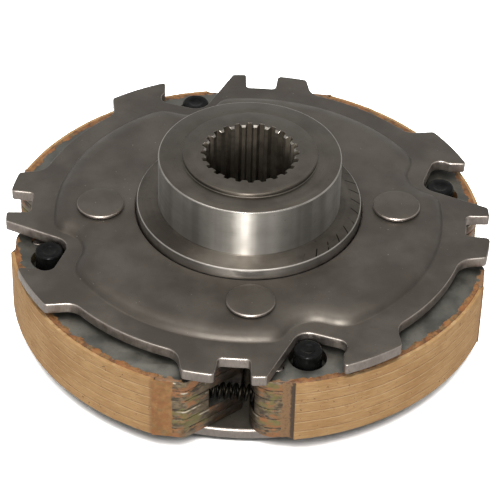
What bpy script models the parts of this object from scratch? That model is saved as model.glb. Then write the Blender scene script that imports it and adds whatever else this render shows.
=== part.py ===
"""Wet centrifugal clutch: a splined hub and two riveted plates carry four hinged, laminated shoes.

Run with: blender --background --python part.py
Metres, +Z up. The origin is the centre of the back plate's underside, and +Z is the shaft axis.
The rivets of the carrier lie on the X and Y axes. Everything else is placed from them by angle.
"""

import math

import bmesh
import bpy
from mathutils import Vector

MM = 0.001
DEG = math.pi / 180

# Layout round the shaft
STATIONS = 4
STATION_STEP = 360 * DEG / STATIONS
CLEARANCE = 0.3 * MM
PIN_FROM_RIVET = 15.25 * DEG
REST_SWING = 2.4 * DEG
ARC_STEP = 6 * DEG
CORNER_STEP = 30 * DEG
TURNED_STEPS = 48
RIM_STEPS = 64
SHANK_STEPS = 20
HOLE_STEPS = 14
SMALL_HOLE_STEPS = 8
CUT_MARGIN = 1 * MM

# Internal spline
SPLINE_TEETH = 24
SPLINE_MAJOR = 13.6 * MM
SPLINE_MINOR = 12.2 * MM
SPLINE_ROOT_SHARE = 0.36
SPLINE_TIP_SHARE = 0.30
SPLINE_CHAMFER = 0.5 * MM

# Hub, from the spline outwards
PILOT_WALL = 2.4 * MM
PILOT_END = 0.3 * MM
BARREL_SHOULDER = 3.5 * MM
BOSS_WALL = 5.1 * MM
BOSS_RISE = 1.2 * MM
HUB_SHOULDER = 6.7 * MM
HUB_RISE = 20.4 * MM
HUB_EDGE_CHAMFER = 0.5 * MM
COLLAR_STEP = 6.0 * MM
COLLAR_RISE = 5.5 * MM
COLLAR_CHAMFER = 0.4 * MM
COLLAR_TO_PLATE = 0.4 * MM
COLLAR_TO_RIVETS = 10.0 * MM
DISC_BELOW_RIVETS = 3.4 * MM
EAR_HALF_WIDTH = 6.2 * MM
EAR_END_FLAT = 0.4 * MM
EAR_TAPER = 4 * DEG
EAR_CORNER = 2.5 * MM
EAR_THICKNESS = 5.0 * MM

# Carrier rivets and spacers
RIVET_RADIUS = 4.0 * MM
RIVET_HEAD_RADIUS = 6.6 * MM
RIVET_HEAD_HEIGHT = 1.0 * MM
RIVET_HEAD_EDGE = 0.25 * MM
FOOT_SPREAD = 1.1 * MM
SPACER_RADIUS = 6.5 * MM

# Shoe stack, from the back plate upwards
LAMINATIONS = 6
LAMINATION_THICKNESS = 3.05 * MM
SLOTTED_LAMINATIONS = (3, 4)
SPACER_TO_SHOE = 1.0 * MM
SHOE_WIDTH = 16.8 * MM
SHOE_NECK_STEP = 2.6 * MM
SHOE_NECK_ANGLE = -3.5 * DEG
SHOE_NECK_HEADING = -40 * DEG
TOP_HOLE_RADIUS = 5.15 * MM
TOP_HOLE_TO_NECK = 0.55 * MM
LOBE_ANGLE = -8.3 * DEG
LOBE_END_FLAT = 0.4 * MM
LOBE_RIVET_OFFSET = 1.0 * MM
TIP_ANGLE = 61.2 * DEG
TIP_LEAN = 14 * DEG
TIP_FACE_HEADING = -156 * DEG
TIP_BELOW_LINING = 0.2 * MM
TIP_STEP_ROUND = 0.4 * MM
TIP_OUTER_ROUND = 2.0 * MM
TIP_INNER_ROUND = 1.8 * MM
TIP_RIVET_DEPTH = 9.3 * MM
TIP_RIVET_ANGLE = 61.0 * DEG
SHOE_RIVET_RADIUS = 1.5 * MM
SHOE_RIVET_RECESS = 0.15 * MM

# Friction lining
LINING_THICKNESS = 1.3 * MM
LINING_START = -4.85 * DEG
LINING_END = 54.0 * DEG
LINING_STEP = 0.2 * MM
LINING_END_ROUND = 0.3 * MM

# Pivot pin
PIN_RADIUS = 3.85 * MM
PIN_TENON_RADIUS = 2.5 * MM
PIN_EDGE_ROUND = 0.7 * MM
PIN_BELOW_PLATE = 1.3 * MM

# Back plate
BACK_BEYOND_PINS = 4.6 * MM
BACK_THICKNESS = 3.3 * MM
BACK_EDGE_ROUND = 0.8 * MM

# Front plate
PLATE_RAISE = 1.4 * MM
PLATE_THICKNESS = 3.3 * MM
TAB_BEYOND_LINING = 0.6 * MM
RIM_BEYOND_PINS = 3.9 * MM
CROWN_BELOW_PINS = 2.8 * MM
CROWN_RISE = 2.5 * MM
CROWN_EDGE_ROUND = 1.0 * MM
CROWN_HORN_SIDE_GAP = 3.25 * MM
CROWN_HORN_ROUND = 5.5 * MM
CROWN_SCALLOP_ROUND = 8.5 * MM
CROWN_POCKET_SIDE_GAP = 6.15 * MM
CROWN_POCKET_ROUND = 8.0 * MM
CROWN_WALL = 3.0 * MM

# Rim of the front plate, by angle from the rivet or by heading from the pin's radius
SMALL_TAB_START = -15.7 * DEG
SMALL_TAB_LEAN = 24 * DEG
SMALL_TAB_END = -8.25 * DEG
HORN_START = -0.15 * DEG
HORN_FLANK_HEADING = 138.4 * DEG
HORN_FLANK_GAP = 0.55 * MM
POCKET_FLANK_HEADING = 54.8 * DEG
POCKET_FLANK_GAP = 1.0 * MM
POCKET_WALL_HEADING = -43.3 * DEG
POCKET_WALL_GAP = 5.8 * MM
WIDE_TAB_FLANK_HEADING = -16.0 * DEG
WIDE_TAB_FLANK_GAP = 5.4 * MM
WIDE_TAB_END = 35.9 * DEG
WIDE_TAB_LEAN = 30 * DEG
RECESS_ROUND = 5.0 * MM
TAB_ROUND = 1.2 * MM
SLOT_ROUND = 1.3 * MM
HORN_ROUND = 0.8 * MM
NOTCH_ROUND = 4.2 * MM
POCKET_ROUND = 2.8 * MM
WALL_ROUND = 1.5 * MM

# Return spring
WIRE_RADIUS = 0.45 * MM
COIL_RADIUS = 2.0 * MM
COIL_PITCH = 1.8 * MM
COIL_POINTS = 6
HOOK_NECK = 1.2 * MM
HOOK_CLEARANCE = 0.5 * MM
HOOK_SWEEP = 300 * DEG
HOOK_POINTS = 9

# Radii that follow from the sizes above, from the shaft outwards
PILOT_RADIUS = SPLINE_MAJOR + PILOT_WALL
BARREL_RADIUS = PILOT_RADIUS + BARREL_SHOULDER
BOSS_RADIUS = SPLINE_MAJOR + BOSS_WALL
HUB_RADIUS = BOSS_RADIUS + HUB_SHOULDER
COLLAR_RADIUS = HUB_RADIUS + COLLAR_STEP
RIVET_CIRCLE = COLLAR_RADIUS + COLLAR_TO_RIVETS
HUB_DISC_RADIUS = RIVET_CIRCLE - DISC_BELOW_RIVETS
SHOE_INNER = RIVET_CIRCLE + SPACER_RADIUS + SPACER_TO_SHOE
SHOE_NECK_INNER = SHOE_INNER + SHOE_NECK_STEP
SHOE_OUTER = SHOE_INNER + SHOE_WIDTH
PIN_CIRCLE = SHOE_NECK_INNER + TOP_HOLE_RADIUS + TOP_HOLE_TO_NECK
LOBE_RADIUS = (SHOE_OUTER - SHOE_NECK_INNER) / 2
LOBE_CIRCLE = (SHOE_OUTER + SHOE_NECK_INNER) / 2
LOBE_RIVET_CIRCLE = LOBE_CIRCLE + LOBE_RIVET_OFFSET
TIP_RIVET_CIRCLE = SHOE_OUTER - TIP_RIVET_DEPTH
LINING_INNER = SHOE_OUTER + CLEARANCE
LINING_OUTER = LINING_INNER + LINING_THICKNESS
TIP_OUTER = LINING_OUTER - TIP_BELOW_LINING
TIP_STEP_ANGLE = LINING_END + CLEARANCE / LINING_OUTER
BACK_RADIUS = PIN_CIRCLE + BACK_BEYOND_PINS
TAB_RADIUS = LINING_OUTER + TAB_BEYOND_LINING
RIM_RADIUS = PIN_CIRCLE + RIM_BEYOND_PINS
CROWN_RADIUS = PIN_CIRCLE - CROWN_BELOW_PINS
SHOE_RIVET_HOLE = SHOE_RIVET_RADIUS + CLEARANCE
HOOK_RADIUS = SHOE_RIVET_RADIUS + CLEARANCE + WIRE_RADIUS
SLOT_HALF_WIDTH = HOOK_RADIUS + WIRE_RADIUS + HOOK_CLEARANCE

# Heights that follow, from the back plate upwards
LAMINATION_PITCH = LAMINATION_THICKNESS + CLEARANCE
SHOE_BOTTOM = BACK_THICKNESS + CLEARANCE
SHOE_TOP = SHOE_BOTTOM + LAMINATIONS * LAMINATION_PITCH - CLEARANCE
SPRING_LEVEL = SHOE_BOTTOM + LAMINATIONS / 2 * LAMINATION_PITCH - CLEARANCE / 2
PLATE_BOTTOM = SHOE_TOP + PLATE_RAISE
PLATE_TOP = PLATE_BOTTOM + PLATE_THICKNESS
PIN_TOP = PLATE_TOP - PIN_BELOW_PLATE
CROWN_TOP = PLATE_TOP + CROWN_RISE
CROWN_BELOW = CROWN_TOP - PLATE_THICKNESS
EAR_TOP = CROWN_BELOW - CLEARANCE
EAR_BOTTOM = EAR_TOP - EAR_THICKNESS
COLLAR_TOP = PLATE_TOP + COLLAR_RISE
HUB_TOP = PLATE_TOP + HUB_RISE
BOSS_TOP = HUB_TOP + BOSS_RISE

STEEL = ((0.095, 0.078, 0.066), 0.42, 1.0)
SHEARED_STEEL = ((0.30, 0.29, 0.28), 0.30, 1.0)
POLISHED_STEEL = ((0.36, 0.35, 0.33), 0.20, 1.0)
SHOE_STEEL = ((0.13, 0.13, 0.12), 0.45, 0.9)
STAINED_STEEL = ((0.20, 0.16, 0.09), 0.50, 0.8)
BLACK_STEEL = ((0.012, 0.013, 0.013), 0.18, 0.7)
FRICTION = ((0.46, 0.27, 0.11), 0.80, 0.0)
SPRING_STEEL = ((0.16, 0.16, 0.16), 0.35, 1.0)


def polar(radius, angle):
    return Vector((radius * math.cos(angle), radius * math.sin(angle)))


def turned(point, angle):
    c, s = math.cos(angle), math.sin(angle)
    return Vector((c * point.x - s * point.y, s * point.x + c * point.y))


class Line:
    """A straight edge of an outline, through a point and along a heading."""

    def __init__(self, point, heading):
        self.point = Vector(point)
        self.heading = heading

    def direction(self, where):
        return polar(1, self.heading)

    def left(self):
        return polar(1, self.heading + 90 * DEG)

    def offset(self, distance):
        return Line(self.point + self.left() * distance, self.heading)

    def foot(self, point):
        along = self.direction(point)
        return self.point + along * (point - self.point).dot(along)

    def turned(self, angle):
        return Line(turned(self.point, angle), self.heading + angle)

    def between(self, start, end):
        return []


class Ring:
    """An edge that runs along a circle, anticlockwise when sense is 1."""

    def __init__(self, radius, sense=1, centre=(0, 0)):
        self.radius = radius
        self.sense = sense
        self.centre = Vector(centre)

    def direction(self, where):
        out = (where - self.centre).normalized()
        return Vector((-out.y, out.x)) * self.sense

    def offset(self, distance):
        return Ring(self.radius - self.sense * distance, self.sense, self.centre)

    def foot(self, point):
        return self.centre + (point - self.centre).normalized() * self.radius

    def turned(self, angle):
        return Ring(self.radius, self.sense, turned(self.centre, angle))

    def between(self, start, end):
        first = math.atan2(*(start - self.centre).yx)
        sweep = (math.atan2(*(end - self.centre).yx) - first) * self.sense
        sweep = sweep % (360 * DEG) * self.sense
        count = max(1, round(abs(sweep) / ARC_STEP))
        return [self.centre + polar(self.radius, first + sweep * i / count) for i in range(1, count)]


def crossings(a, b):
    """The points where two edges meet, as a list."""
    if isinstance(a, Line) and isinstance(b, Line):
        d, e = a.direction(None), b.direction(None)
        gap = b.point - a.point
        return [a.point + d * (gap.x * e.y - gap.y * e.x) / (d.x * e.y - d.y * e.x)]
    if isinstance(a, Line):
        middle = a.foot(b.centre)
        reach = math.sqrt(b.radius ** 2 - (middle - b.centre).length_squared)
        along = a.direction(None) * reach
        return [middle + along, middle - along]
    if isinstance(b, Line):
        return crossings(b, a)
    raise ValueError("two rings never meet directly in these outlines")


def corner(a, b, radius):
    """The points of a rounded corner from edge a into edge b."""
    near = a.point if isinstance(a, Line) else b.point
    sharp = min(crossings(a, b), key=lambda p: (p - near).length)
    d, e = a.direction(sharp), b.direction(sharp)
    side = radius if d.x * e.y - d.y * e.x > 0 else -radius
    centre = min(crossings(a.offset(side), b.offset(side)), key=lambda p: (p - sharp).length)
    start, end = a.foot(centre), b.foot(centre)
    first = math.atan2(*(start - centre).yx)
    sweep = math.remainder(math.atan2(*(end - centre).yx) - first, 360 * DEG)
    count = max(2, round(abs(sweep) / CORNER_STEP))
    return [centre + polar(radius, first + sweep * i / count) for i in range(count + 1)]


def outline(edges):
    """A closed outline from (edge, radius of the corner after it) pairs."""
    count = len(edges)
    corners = [corner(edges[i][0], edges[(i + 1) % count][0], edges[i][1]) for i in range(count)]
    points = []
    for i, (edge, _) in enumerate(edges):
        points += edge.between(corners[i - 1][-1], corners[i][0])
        points += corners[i]
    return points


def circle(radius, centre=(0, 0), steps=HOLE_STEPS):
    return [Vector(centre) + polar(radius, 360 * DEG * i / steps) for i in range(steps)]


def stadium(a, b, radius):
    """A slot outline with round ends about points a and b."""
    along = math.atan2(*(b - a).yx)
    steps = HOLE_STEPS // 2
    far = [b + polar(radius, along - 90 * DEG + 180 * DEG * i / steps) for i in range(steps + 1)]
    near = [a + polar(radius, along + 90 * DEG + 180 * DEG * i / steps) for i in range(steps + 1)]
    return far + near


def clear_scene():
    for thing in list(bpy.data.objects):
        bpy.data.objects.remove(thing, do_unlink=True)


def new_collection(name):
    group = bpy.data.collections.new(name)
    bpy.context.scene.collection.children.link(group)
    return group


def new_material(name, look):
    colour, roughness, metallic = look
    made = bpy.data.materials.new(name)
    made.use_nodes = True
    shader = made.node_tree.nodes["Principled BSDF"]
    shader.inputs["Base Color"].default_value = (*colour, 1)
    shader.inputs["Roughness"].default_value = roughness
    shader.inputs["Metallic"].default_value = metallic
    return made


def welded(mesh):
    """Joins a curve's loose caps to its walls."""
    work = bmesh.new()
    work.from_mesh(mesh)
    bmesh.ops.remove_doubles(work, verts=work.verts, dist=0.001 * MM)
    work.to_mesh(mesh)
    work.free()
    return mesh


def evaluated_mesh(thing):
    """The object's mesh with its modifiers applied. The object is removed."""
    bpy.context.view_layer.update()
    graph = bpy.context.evaluated_depsgraph_get()
    mesh = bpy.data.meshes.new_from_object(thing.evaluated_get(graph))
    bpy.data.objects.remove(thing, do_unlink=True)
    return mesh


def curve_object(name, kind, splines, cyclic):
    data = bpy.data.curves.new(name, "CURVE")
    data.dimensions = kind
    for points in splines:
        spline = data.splines.new("POLY")
        spline.points.add(len(points) - 1)
        for knot, point in zip(spline.points, points):
            knot.co = (point[0], point[1], point[2] if len(point) > 2 else 0, 1)
        spline.use_cyclic_u = cyclic
    thing = bpy.data.objects.new(name, data)
    bpy.context.scene.collection.objects.link(thing)
    return thing


def sheet_mesh(outlines, low, high, edge_round=0.0):
    """A flat plate between two heights, from an outer outline and any holes in it."""
    drawn = curve_object("sheet", "2D", outlines, True)
    drawn.data.fill_mode = "BOTH"
    drawn.data.extrude = (high - low) / 2 - edge_round
    drawn.data.bevel_depth = edge_round
    drawn.data.bevel_resolution = 0
    drawn.data.offset = -edge_round
    mesh = welded(evaluated_mesh(drawn))
    for vertex in mesh.vertices:
        vertex.co.z += (low + high) / 2
    return mesh


def turned_mesh(profile, steps=TURNED_STEPS):
    """A solid of revolution from (radius, height) points that run down its outer side."""
    flat = bpy.data.meshes.new("profile")
    points = [(radius, 0, height) for radius, height in profile]
    closed = all(radius > 0 for radius, _ in profile)
    edges = [(i, i + 1) for i in range(len(points) - 1)]
    if closed:
        edges.append((len(points) - 1, 0))
    flat.from_pydata(points, edges, [])
    spun = bpy.data.objects.new("turned", flat)
    bpy.context.scene.collection.objects.link(spun)
    screw = spun.modifiers.new("Screw", "SCREW")
    screw.steps = steps
    screw.render_steps = steps
    screw.use_merge_vertices = True
    screw.merge_threshold = 0.001 * MM
    return evaluated_mesh(spun)


def tube_mesh(points, radius):
    """A round wire along a list of points, with its ends closed."""
    wire = curve_object("wire", "3D", [points], False)
    wire.data.bevel_depth = radius
    wire.data.bevel_resolution = 1
    wire.data.use_fill_caps = True
    return welded(evaluated_mesh(wire))


def combine(piece, other, operation):
    step = piece.modifiers.new(other.name, "BOOLEAN")
    step.operation = operation
    step.object = other
    step.solver = "EXACT"


class Clutch:
    """Holds the two collections and adds pieces and cutters to them."""

    def __init__(self):
        self.parts = new_collection("centrifugal_clutch")
        self.cutters = new_collection("cutters")

    def piece(self, name, mesh, look, parent=None):
        thing = bpy.data.objects.new(name, mesh)
        self.parts.objects.link(thing)
        if parent:
            thing.parent = parent
        if not mesh.materials:
            mesh.shade_smooth()
            mesh.set_sharp_from_angle(angle=30 * DEG)
            mesh.materials.append(None)
        thing.material_slots[0].link = "OBJECT"
        thing.material_slots[0].material = new_material(name, look)
        return thing

    def cutter(self, name, mesh):
        thing = bpy.data.objects.new(name, mesh)
        self.cutters.objects.link(thing)
        thing.display_type = "WIRE"
        thing.hide_render = True
        return thing


def pin_angle(station):
    return station * STATION_STEP + PIN_FROM_RIVET


def pin_line(heading, gap):
    """A line that passes the pin of the first station at its radius plus a gap, on the left."""
    pin = polar(PIN_CIRCLE, PIN_FROM_RIVET)
    along = PIN_FROM_RIVET + heading
    return Line(pin + polar(PIN_RADIUS + gap, along + 90 * DEG), along)


def rim_outline():
    """The front plate's edge: for each station a recess, a small tab, a slot, a horn, a pin notch
    and a wide tab."""
    small_tab = polar(TAB_RADIUS, SMALL_TAB_START)
    wide_tab = polar(TAB_RADIUS, WIDE_TAB_END)
    station = [
        (Ring(RIM_RADIUS), RECESS_ROUND),
        (Line(small_tab, SMALL_TAB_START + SMALL_TAB_LEAN), TAB_ROUND),
        (Ring(TAB_RADIUS), TAB_ROUND),
        (Line(polar(TAB_RADIUS, SMALL_TAB_END), SMALL_TAB_END + 180 * DEG), SLOT_ROUND),
        (Ring(RIM_RADIUS), SLOT_ROUND),
        (Line(polar(TAB_RADIUS, HORN_START), HORN_START), HORN_ROUND),
        (Ring(TAB_RADIUS), HORN_ROUND),
        (pin_line(HORN_FLANK_HEADING, HORN_FLANK_GAP), NOTCH_ROUND),
        (pin_line(POCKET_FLANK_HEADING, POCKET_FLANK_GAP), POCKET_ROUND),
        (pin_line(POCKET_WALL_HEADING, POCKET_WALL_GAP), WALL_ROUND),
        (pin_line(WIDE_TAB_FLANK_HEADING, WIDE_TAB_FLANK_GAP), HORN_ROUND),
        (Ring(TAB_RADIUS), TAB_ROUND),
        (Line(wide_tab, WIDE_TAB_END + 180 * DEG - WIDE_TAB_LEAN), RECESS_ROUND),
    ]
    return outline(repeated(station))


def crown_outline(inset):
    """The foot of the raised centre, or a line that lies inset towards the shaft from it."""
    horn_side = pin_line(HORN_FLANK_HEADING, CROWN_HORN_SIDE_GAP + inset)
    pocket_side = pin_line(POCKET_FLANK_HEADING, CROWN_POCKET_SIDE_GAP + inset)
    station = [
        (Ring(CROWN_RADIUS - inset), CROWN_HORN_ROUND - inset),
        (horn_side, CROWN_SCALLOP_ROUND + inset),
        (pocket_side, CROWN_POCKET_ROUND - inset),
    ]
    return outline(repeated(station))


def repeated(station):
    """One station's edges, turned round the shaft for every station."""
    edges = []
    for i in range(STATIONS):
        edges += [(edge.turned(i * STATION_STEP), radius) for edge, radius in station]
    return edges


def rivet_centres():
    return [polar(RIVET_CIRCLE, i * STATION_STEP) for i in range(STATIONS)]


def rivet_holes():
    return [circle(RIVET_RADIUS + CLEARANCE, at) for at in rivet_centres()]


def make_front_plate(clutch):
    plate = clutch.piece("front_plate", sheet_mesh([rim_outline()], PLATE_BOTTOM, PLATE_TOP), STEEL)
    crown = sheet_mesh([crown_outline(0)], PLATE_BOTTOM + CLEARANCE, CROWN_TOP, CROWN_EDGE_ROUND)
    combine(plate, clutch.cutter("crown", crown), "UNION")
    below = sheet_mesh([crown_outline(CROWN_WALL)], PLATE_BOTTOM - CUT_MARGIN, CROWN_BELOW)
    combine(plate, clutch.cutter("crown_underside", below), "DIFFERENCE")
    holes = [circle(COLLAR_RADIUS + COLLAR_TO_PLATE, steps=TURNED_STEPS)] + rivet_holes()
    drills = sheet_mesh(holes, PLATE_BOTTOM - 2 * CUT_MARGIN, CROWN_TOP + CUT_MARGIN)
    combine(plate, clutch.cutter("front_plate_holes", drills), "DIFFERENCE")


def foot_profile(radius, top, extra=0.0):
    """The outer side of a shank whose lower end is spread into a countersink. Extra widens it."""
    return [
        (radius + extra, top),
        (radius + extra, FOOT_SPREAD + CLEARANCE + extra / 2),
        (radius + FOOT_SPREAD + extra, CLEARANCE + extra / 2),
    ]


def rounded_top(radius, top, edge_round):
    """The outer side of a turned piece from its flat top down over a rounded edge."""
    steps = [90 * DEG - 45 * DEG * i for i in range(3)]
    return [(radius - edge_round * (1 - math.cos(at)), top - edge_round * (1 - math.sin(at)))
            for at in steps]


def make_back_plate(clutch):
    inner = PILOT_RADIUS + CLEARANCE
    rim = rounded_top(BACK_RADIUS, BACK_THICKNESS, BACK_EDGE_ROUND)
    profile = rim + [(BACK_RADIUS, 0), (inner, 0), (inner, BACK_THICKNESS)]
    plate = clutch.piece("back_plate", turned_mesh(profile, RIM_STEPS), STEEL)
    above = BACK_THICKNESS + CUT_MARGIN
    for i in range(STATIONS):
        for kind, radius, at in (
                ("rivet", RIVET_RADIUS, polar(RIVET_CIRCLE, i * STATION_STEP)),
                ("pin", PIN_TENON_RADIUS, polar(PIN_CIRCLE, pin_angle(i)))):
            hole = foot_profile(radius, above, CLEARANCE)
            below = (hole[-1][0], -CUT_MARGIN)
            closed = [(0, above)] + hole + [below, (0, -CUT_MARGIN)]
            drill = clutch.cutter(f"back_plate_{kind}_hole_{i}", turned_mesh(closed, HOLE_STEPS))
            drill.location = (*at, 0)
            combine(plate, drill, "DIFFERENCE")


def spline_outline():
    """The internal spline: wide spaces at the major radius and teeth that reach the minor one."""
    pitch = 360 * DEG / SPLINE_TEETH
    points = []
    for i in range(SPLINE_TEETH):
        middle = i * pitch
        root = SPLINE_ROOT_SHARE * pitch / 2
        tip = SPLINE_TIP_SHARE * pitch / 2
        points += [polar(SPLINE_MAJOR, middle - root), polar(SPLINE_MAJOR, middle + root)]
        points += [polar(SPLINE_MINOR, middle + pitch / 2 - tip)]
        points += [polar(SPLINE_MINOR, middle + pitch / 2 + tip)]
    return points


def flange_outline():
    """The hub's flange: a disc with an ear round each carrier rivet."""
    rounding = EAR_HALF_WIDTH - EAR_END_FLAT / 2
    station = [
        (Ring(HUB_DISC_RADIUS), EAR_CORNER),
        (Line((RIVET_CIRCLE, -EAR_HALF_WIDTH), EAR_TAPER), rounding),
        (Line((RIVET_CIRCLE + EAR_HALF_WIDTH, 0), 90 * DEG), rounding),
        (Line((RIVET_CIRCLE, EAR_HALF_WIDTH), 180 * DEG - EAR_TAPER), EAR_CORNER),
    ]
    return outline(repeated(station))


def make_hub(clutch):
    core = SPLINE_MINOR / 2
    neck = (EAR_TOP + EAR_BOTTOM) / 2
    profile = [
        (core, BOSS_TOP),
        (BOSS_RADIUS, BOSS_TOP),
        (BOSS_RADIUS, HUB_TOP),
        (HUB_RADIUS - HUB_EDGE_CHAMFER, HUB_TOP),
        (HUB_RADIUS, HUB_TOP - HUB_EDGE_CHAMFER),
        (HUB_RADIUS, COLLAR_TOP),
        (COLLAR_RADIUS - COLLAR_CHAMFER, COLLAR_TOP),
        (COLLAR_RADIUS, COLLAR_TOP - COLLAR_CHAMFER),
        (COLLAR_RADIUS, neck),
        (BARREL_RADIUS, neck),
        (BARREL_RADIUS, BACK_THICKNESS + CLEARANCE),
        (PILOT_RADIUS, BACK_THICKNESS + CLEARANCE),
        (PILOT_RADIUS, PILOT_END),
        (core, PILOT_END),
    ]
    hub = clutch.piece("hub", turned_mesh(profile), POLISHED_STEEL)
    flange = sheet_mesh([flange_outline()] + rivet_holes(), EAR_BOTTOM, EAR_TOP)
    combine(hub, clutch.cutter("hub_flange", flange), "UNION")
    broach = sheet_mesh([spline_outline()], PILOT_END - CUT_MARGIN, BOSS_TOP + CUT_MARGIN)
    combine(hub, clutch.cutter("hub_spline", broach), "DIFFERENCE")
    mouth = [
        (0, BOSS_TOP + SPLINE_CHAMFER),
        (SPLINE_MINOR + 2 * SPLINE_CHAMFER, BOSS_TOP + SPLINE_CHAMFER),
        (SPLINE_MINOR, BOSS_TOP - SPLINE_CHAMFER),
        (0, BOSS_TOP - SPLINE_CHAMFER),
    ]
    combine(hub, clutch.cutter("hub_mouth", turned_mesh(mouth)), "DIFFERENCE")


def make_rivets_and_spacers(clutch):
    seat = CROWN_TOP + CLEARANCE
    head = [
        (0, seat + RIVET_HEAD_HEIGHT),
        (RIVET_HEAD_RADIUS - RIVET_HEAD_EDGE, seat + RIVET_HEAD_HEIGHT),
        (RIVET_HEAD_RADIUS, seat + RIVET_HEAD_HEIGHT - RIVET_HEAD_EDGE),
        (RIVET_HEAD_RADIUS, seat),
    ]
    shank = foot_profile(RIVET_RADIUS, seat)
    rivet = turned_mesh(head + shank + [(0, CLEARANCE)], SHANK_STEPS)
    bore = RIVET_RADIUS + CLEARANCE
    top, bottom = EAR_BOTTOM - CLEARANCE, BACK_THICKNESS + CLEARANCE
    wall = [(bore, top), (SPACER_RADIUS, top), (SPACER_RADIUS, bottom), (bore, bottom)]
    spacer = turned_mesh(wall, SHANK_STEPS)
    for i, at in enumerate(rivet_centres()):
        clutch.piece(f"carrier_rivet_{i + 1}", rivet, SHEARED_STEEL).location = (*at, 0)
        clutch.piece(f"spacer_{i + 1}", spacer, STEEL).location = (*at, 0)


def make_pins(clutch):
    edge = rounded_top(PIN_RADIUS, PIN_TOP, PIN_EDGE_ROUND)
    shoulder = BACK_THICKNESS + CLEARANCE
    tenon = foot_profile(PIN_TENON_RADIUS, shoulder)
    profile = [(0, PIN_TOP)] + edge + [(PIN_RADIUS, shoulder)] + tenon + [(0, CLEARANCE)]
    pin = turned_mesh(profile, SHANK_STEPS)
    for i in range(STATIONS):
        thing = clutch.piece(f"pivot_pin_{i + 1}", pin, BLACK_STEEL)
        thing.location = (*polar(PIN_CIRCLE, pin_angle(i)), 0)


def shoe_point(radius, angle):
    """A point of the shoe, by radius from the shaft and angle from its own pin, about that pin."""
    return polar(radius, angle) - Vector((PIN_CIRCLE, 0))


def shoe_outline():
    """One lamination: the lining's seat, a step up to the free end that leans inwards, the inner
    arc, and a round lobe past the pin."""
    shaft = Vector((-PIN_CIRCLE, 0))
    lobe = shoe_point(LOBE_CIRCLE, LOBE_ANGLE)
    lobe_end = lobe + polar(LOBE_RADIUS, LOBE_ANGLE - 90 * DEG)
    rounding = LOBE_RADIUS - LOBE_END_FLAT / 2
    step_top = shoe_point(TIP_OUTER, TIP_STEP_ANGLE)
    return outline([
        (Ring(SHOE_OUTER, 1, shaft), TIP_STEP_ROUND),
        (Line(step_top, TIP_STEP_ANGLE), TIP_STEP_ROUND),
        (Line(step_top, TIP_STEP_ANGLE + 90 * DEG + TIP_LEAN), TIP_OUTER_ROUND),
        (Line(shoe_point(SHOE_OUTER, TIP_ANGLE), TIP_FACE_HEADING), TIP_INNER_ROUND),
        (Ring(SHOE_INNER, -1, shaft), TIP_INNER_ROUND),
        (Line(shoe_point(SHOE_INNER, SHOE_NECK_ANGLE), SHOE_NECK_HEADING), TIP_INNER_ROUND),
        (Ring(SHOE_NECK_INNER, -1, shaft), rounding),
        (Line(lobe_end, LOBE_ANGLE), rounding),
    ])


def lining_outline():
    shaft = Vector((-PIN_CIRCLE, 0))
    return outline([
        (Ring(LINING_OUTER, 1, shaft), LINING_END_ROUND),
        (Line(shoe_point(LINING_OUTER, LINING_END), LINING_END + 180 * DEG), LINING_END_ROUND),
        (Ring(LINING_INNER, -1, shaft), LINING_END_ROUND),
        (Line(shoe_point(LINING_OUTER, LINING_START), LINING_START), LINING_END_ROUND),
    ])


def lamination_mesh(clutch, kind):
    """A lamination about its pin, with its lowest face at zero height."""
    lobe, tip = shoe_rivet_points()
    pin_hole = TOP_HOLE_RADIUS if kind == "top" else PIN_RADIUS + CLEARANCE
    holes = [circle(pin_hole)] + [circle(SHOE_RIVET_HOLE, at, SMALL_HOLE_STEPS) for at in (lobe, tip)]
    if kind != "slotted":
        return sheet_mesh([shoe_outline()] + holes, 0, LAMINATION_THICKNESS)
    blank = sheet_mesh([shoe_outline(), holes[0]], 0, LAMINATION_THICKNESS)
    body = bpy.data.objects.new("body", blank)
    bpy.context.scene.collection.objects.link(body)
    for i, (inner, outer) in enumerate(hook_slots()):
        shape = stadium(inner, outer, SLOT_HALF_WIDTH)
        slot = sheet_mesh([shape], -CUT_MARGIN, LAMINATION_THICKNESS + CUT_MARGIN)
        combine(body, clutch.cutter(f"hook_slot_{i}", slot), "DIFFERENCE")
    return evaluated_mesh(body)


def shoe_rivet_points():
    """The shoe's two rivets, the one in its lobe and the one near its free end."""
    lobe = shoe_point(LOBE_RIVET_CIRCLE, LOBE_ANGLE)
    tip = shoe_point(TIP_RIVET_CIRCLE, TIP_RIVET_ANGLE)
    return lobe, tip


def spring_ends():
    """Where a spring is hooked at rest: on its shoe's tip rivet and on the next shoe's lobe rivet,
    about the first shoe's pin."""
    lobe, tip = shoe_rivet_points()
    next_pin = turned(shoe_point(PIN_CIRCLE, STATION_STEP), REST_SWING)
    return tip, next_pin + turned(lobe, STATION_STEP)


def hook_slots():
    """The two slots of a lamination, each from a rivet outwards along the spring that hooks on it."""
    tip, next_lobe = spring_ends()
    along = (next_lobe - tip).normalized()
    own_lobe = shoe_rivet_points()[0]
    back = turned(-along, -STATION_STEP)
    reach = 4 * LOBE_RADIUS
    return [(tip, tip + along * reach), (own_lobe, own_lobe + back * reach)]


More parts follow.
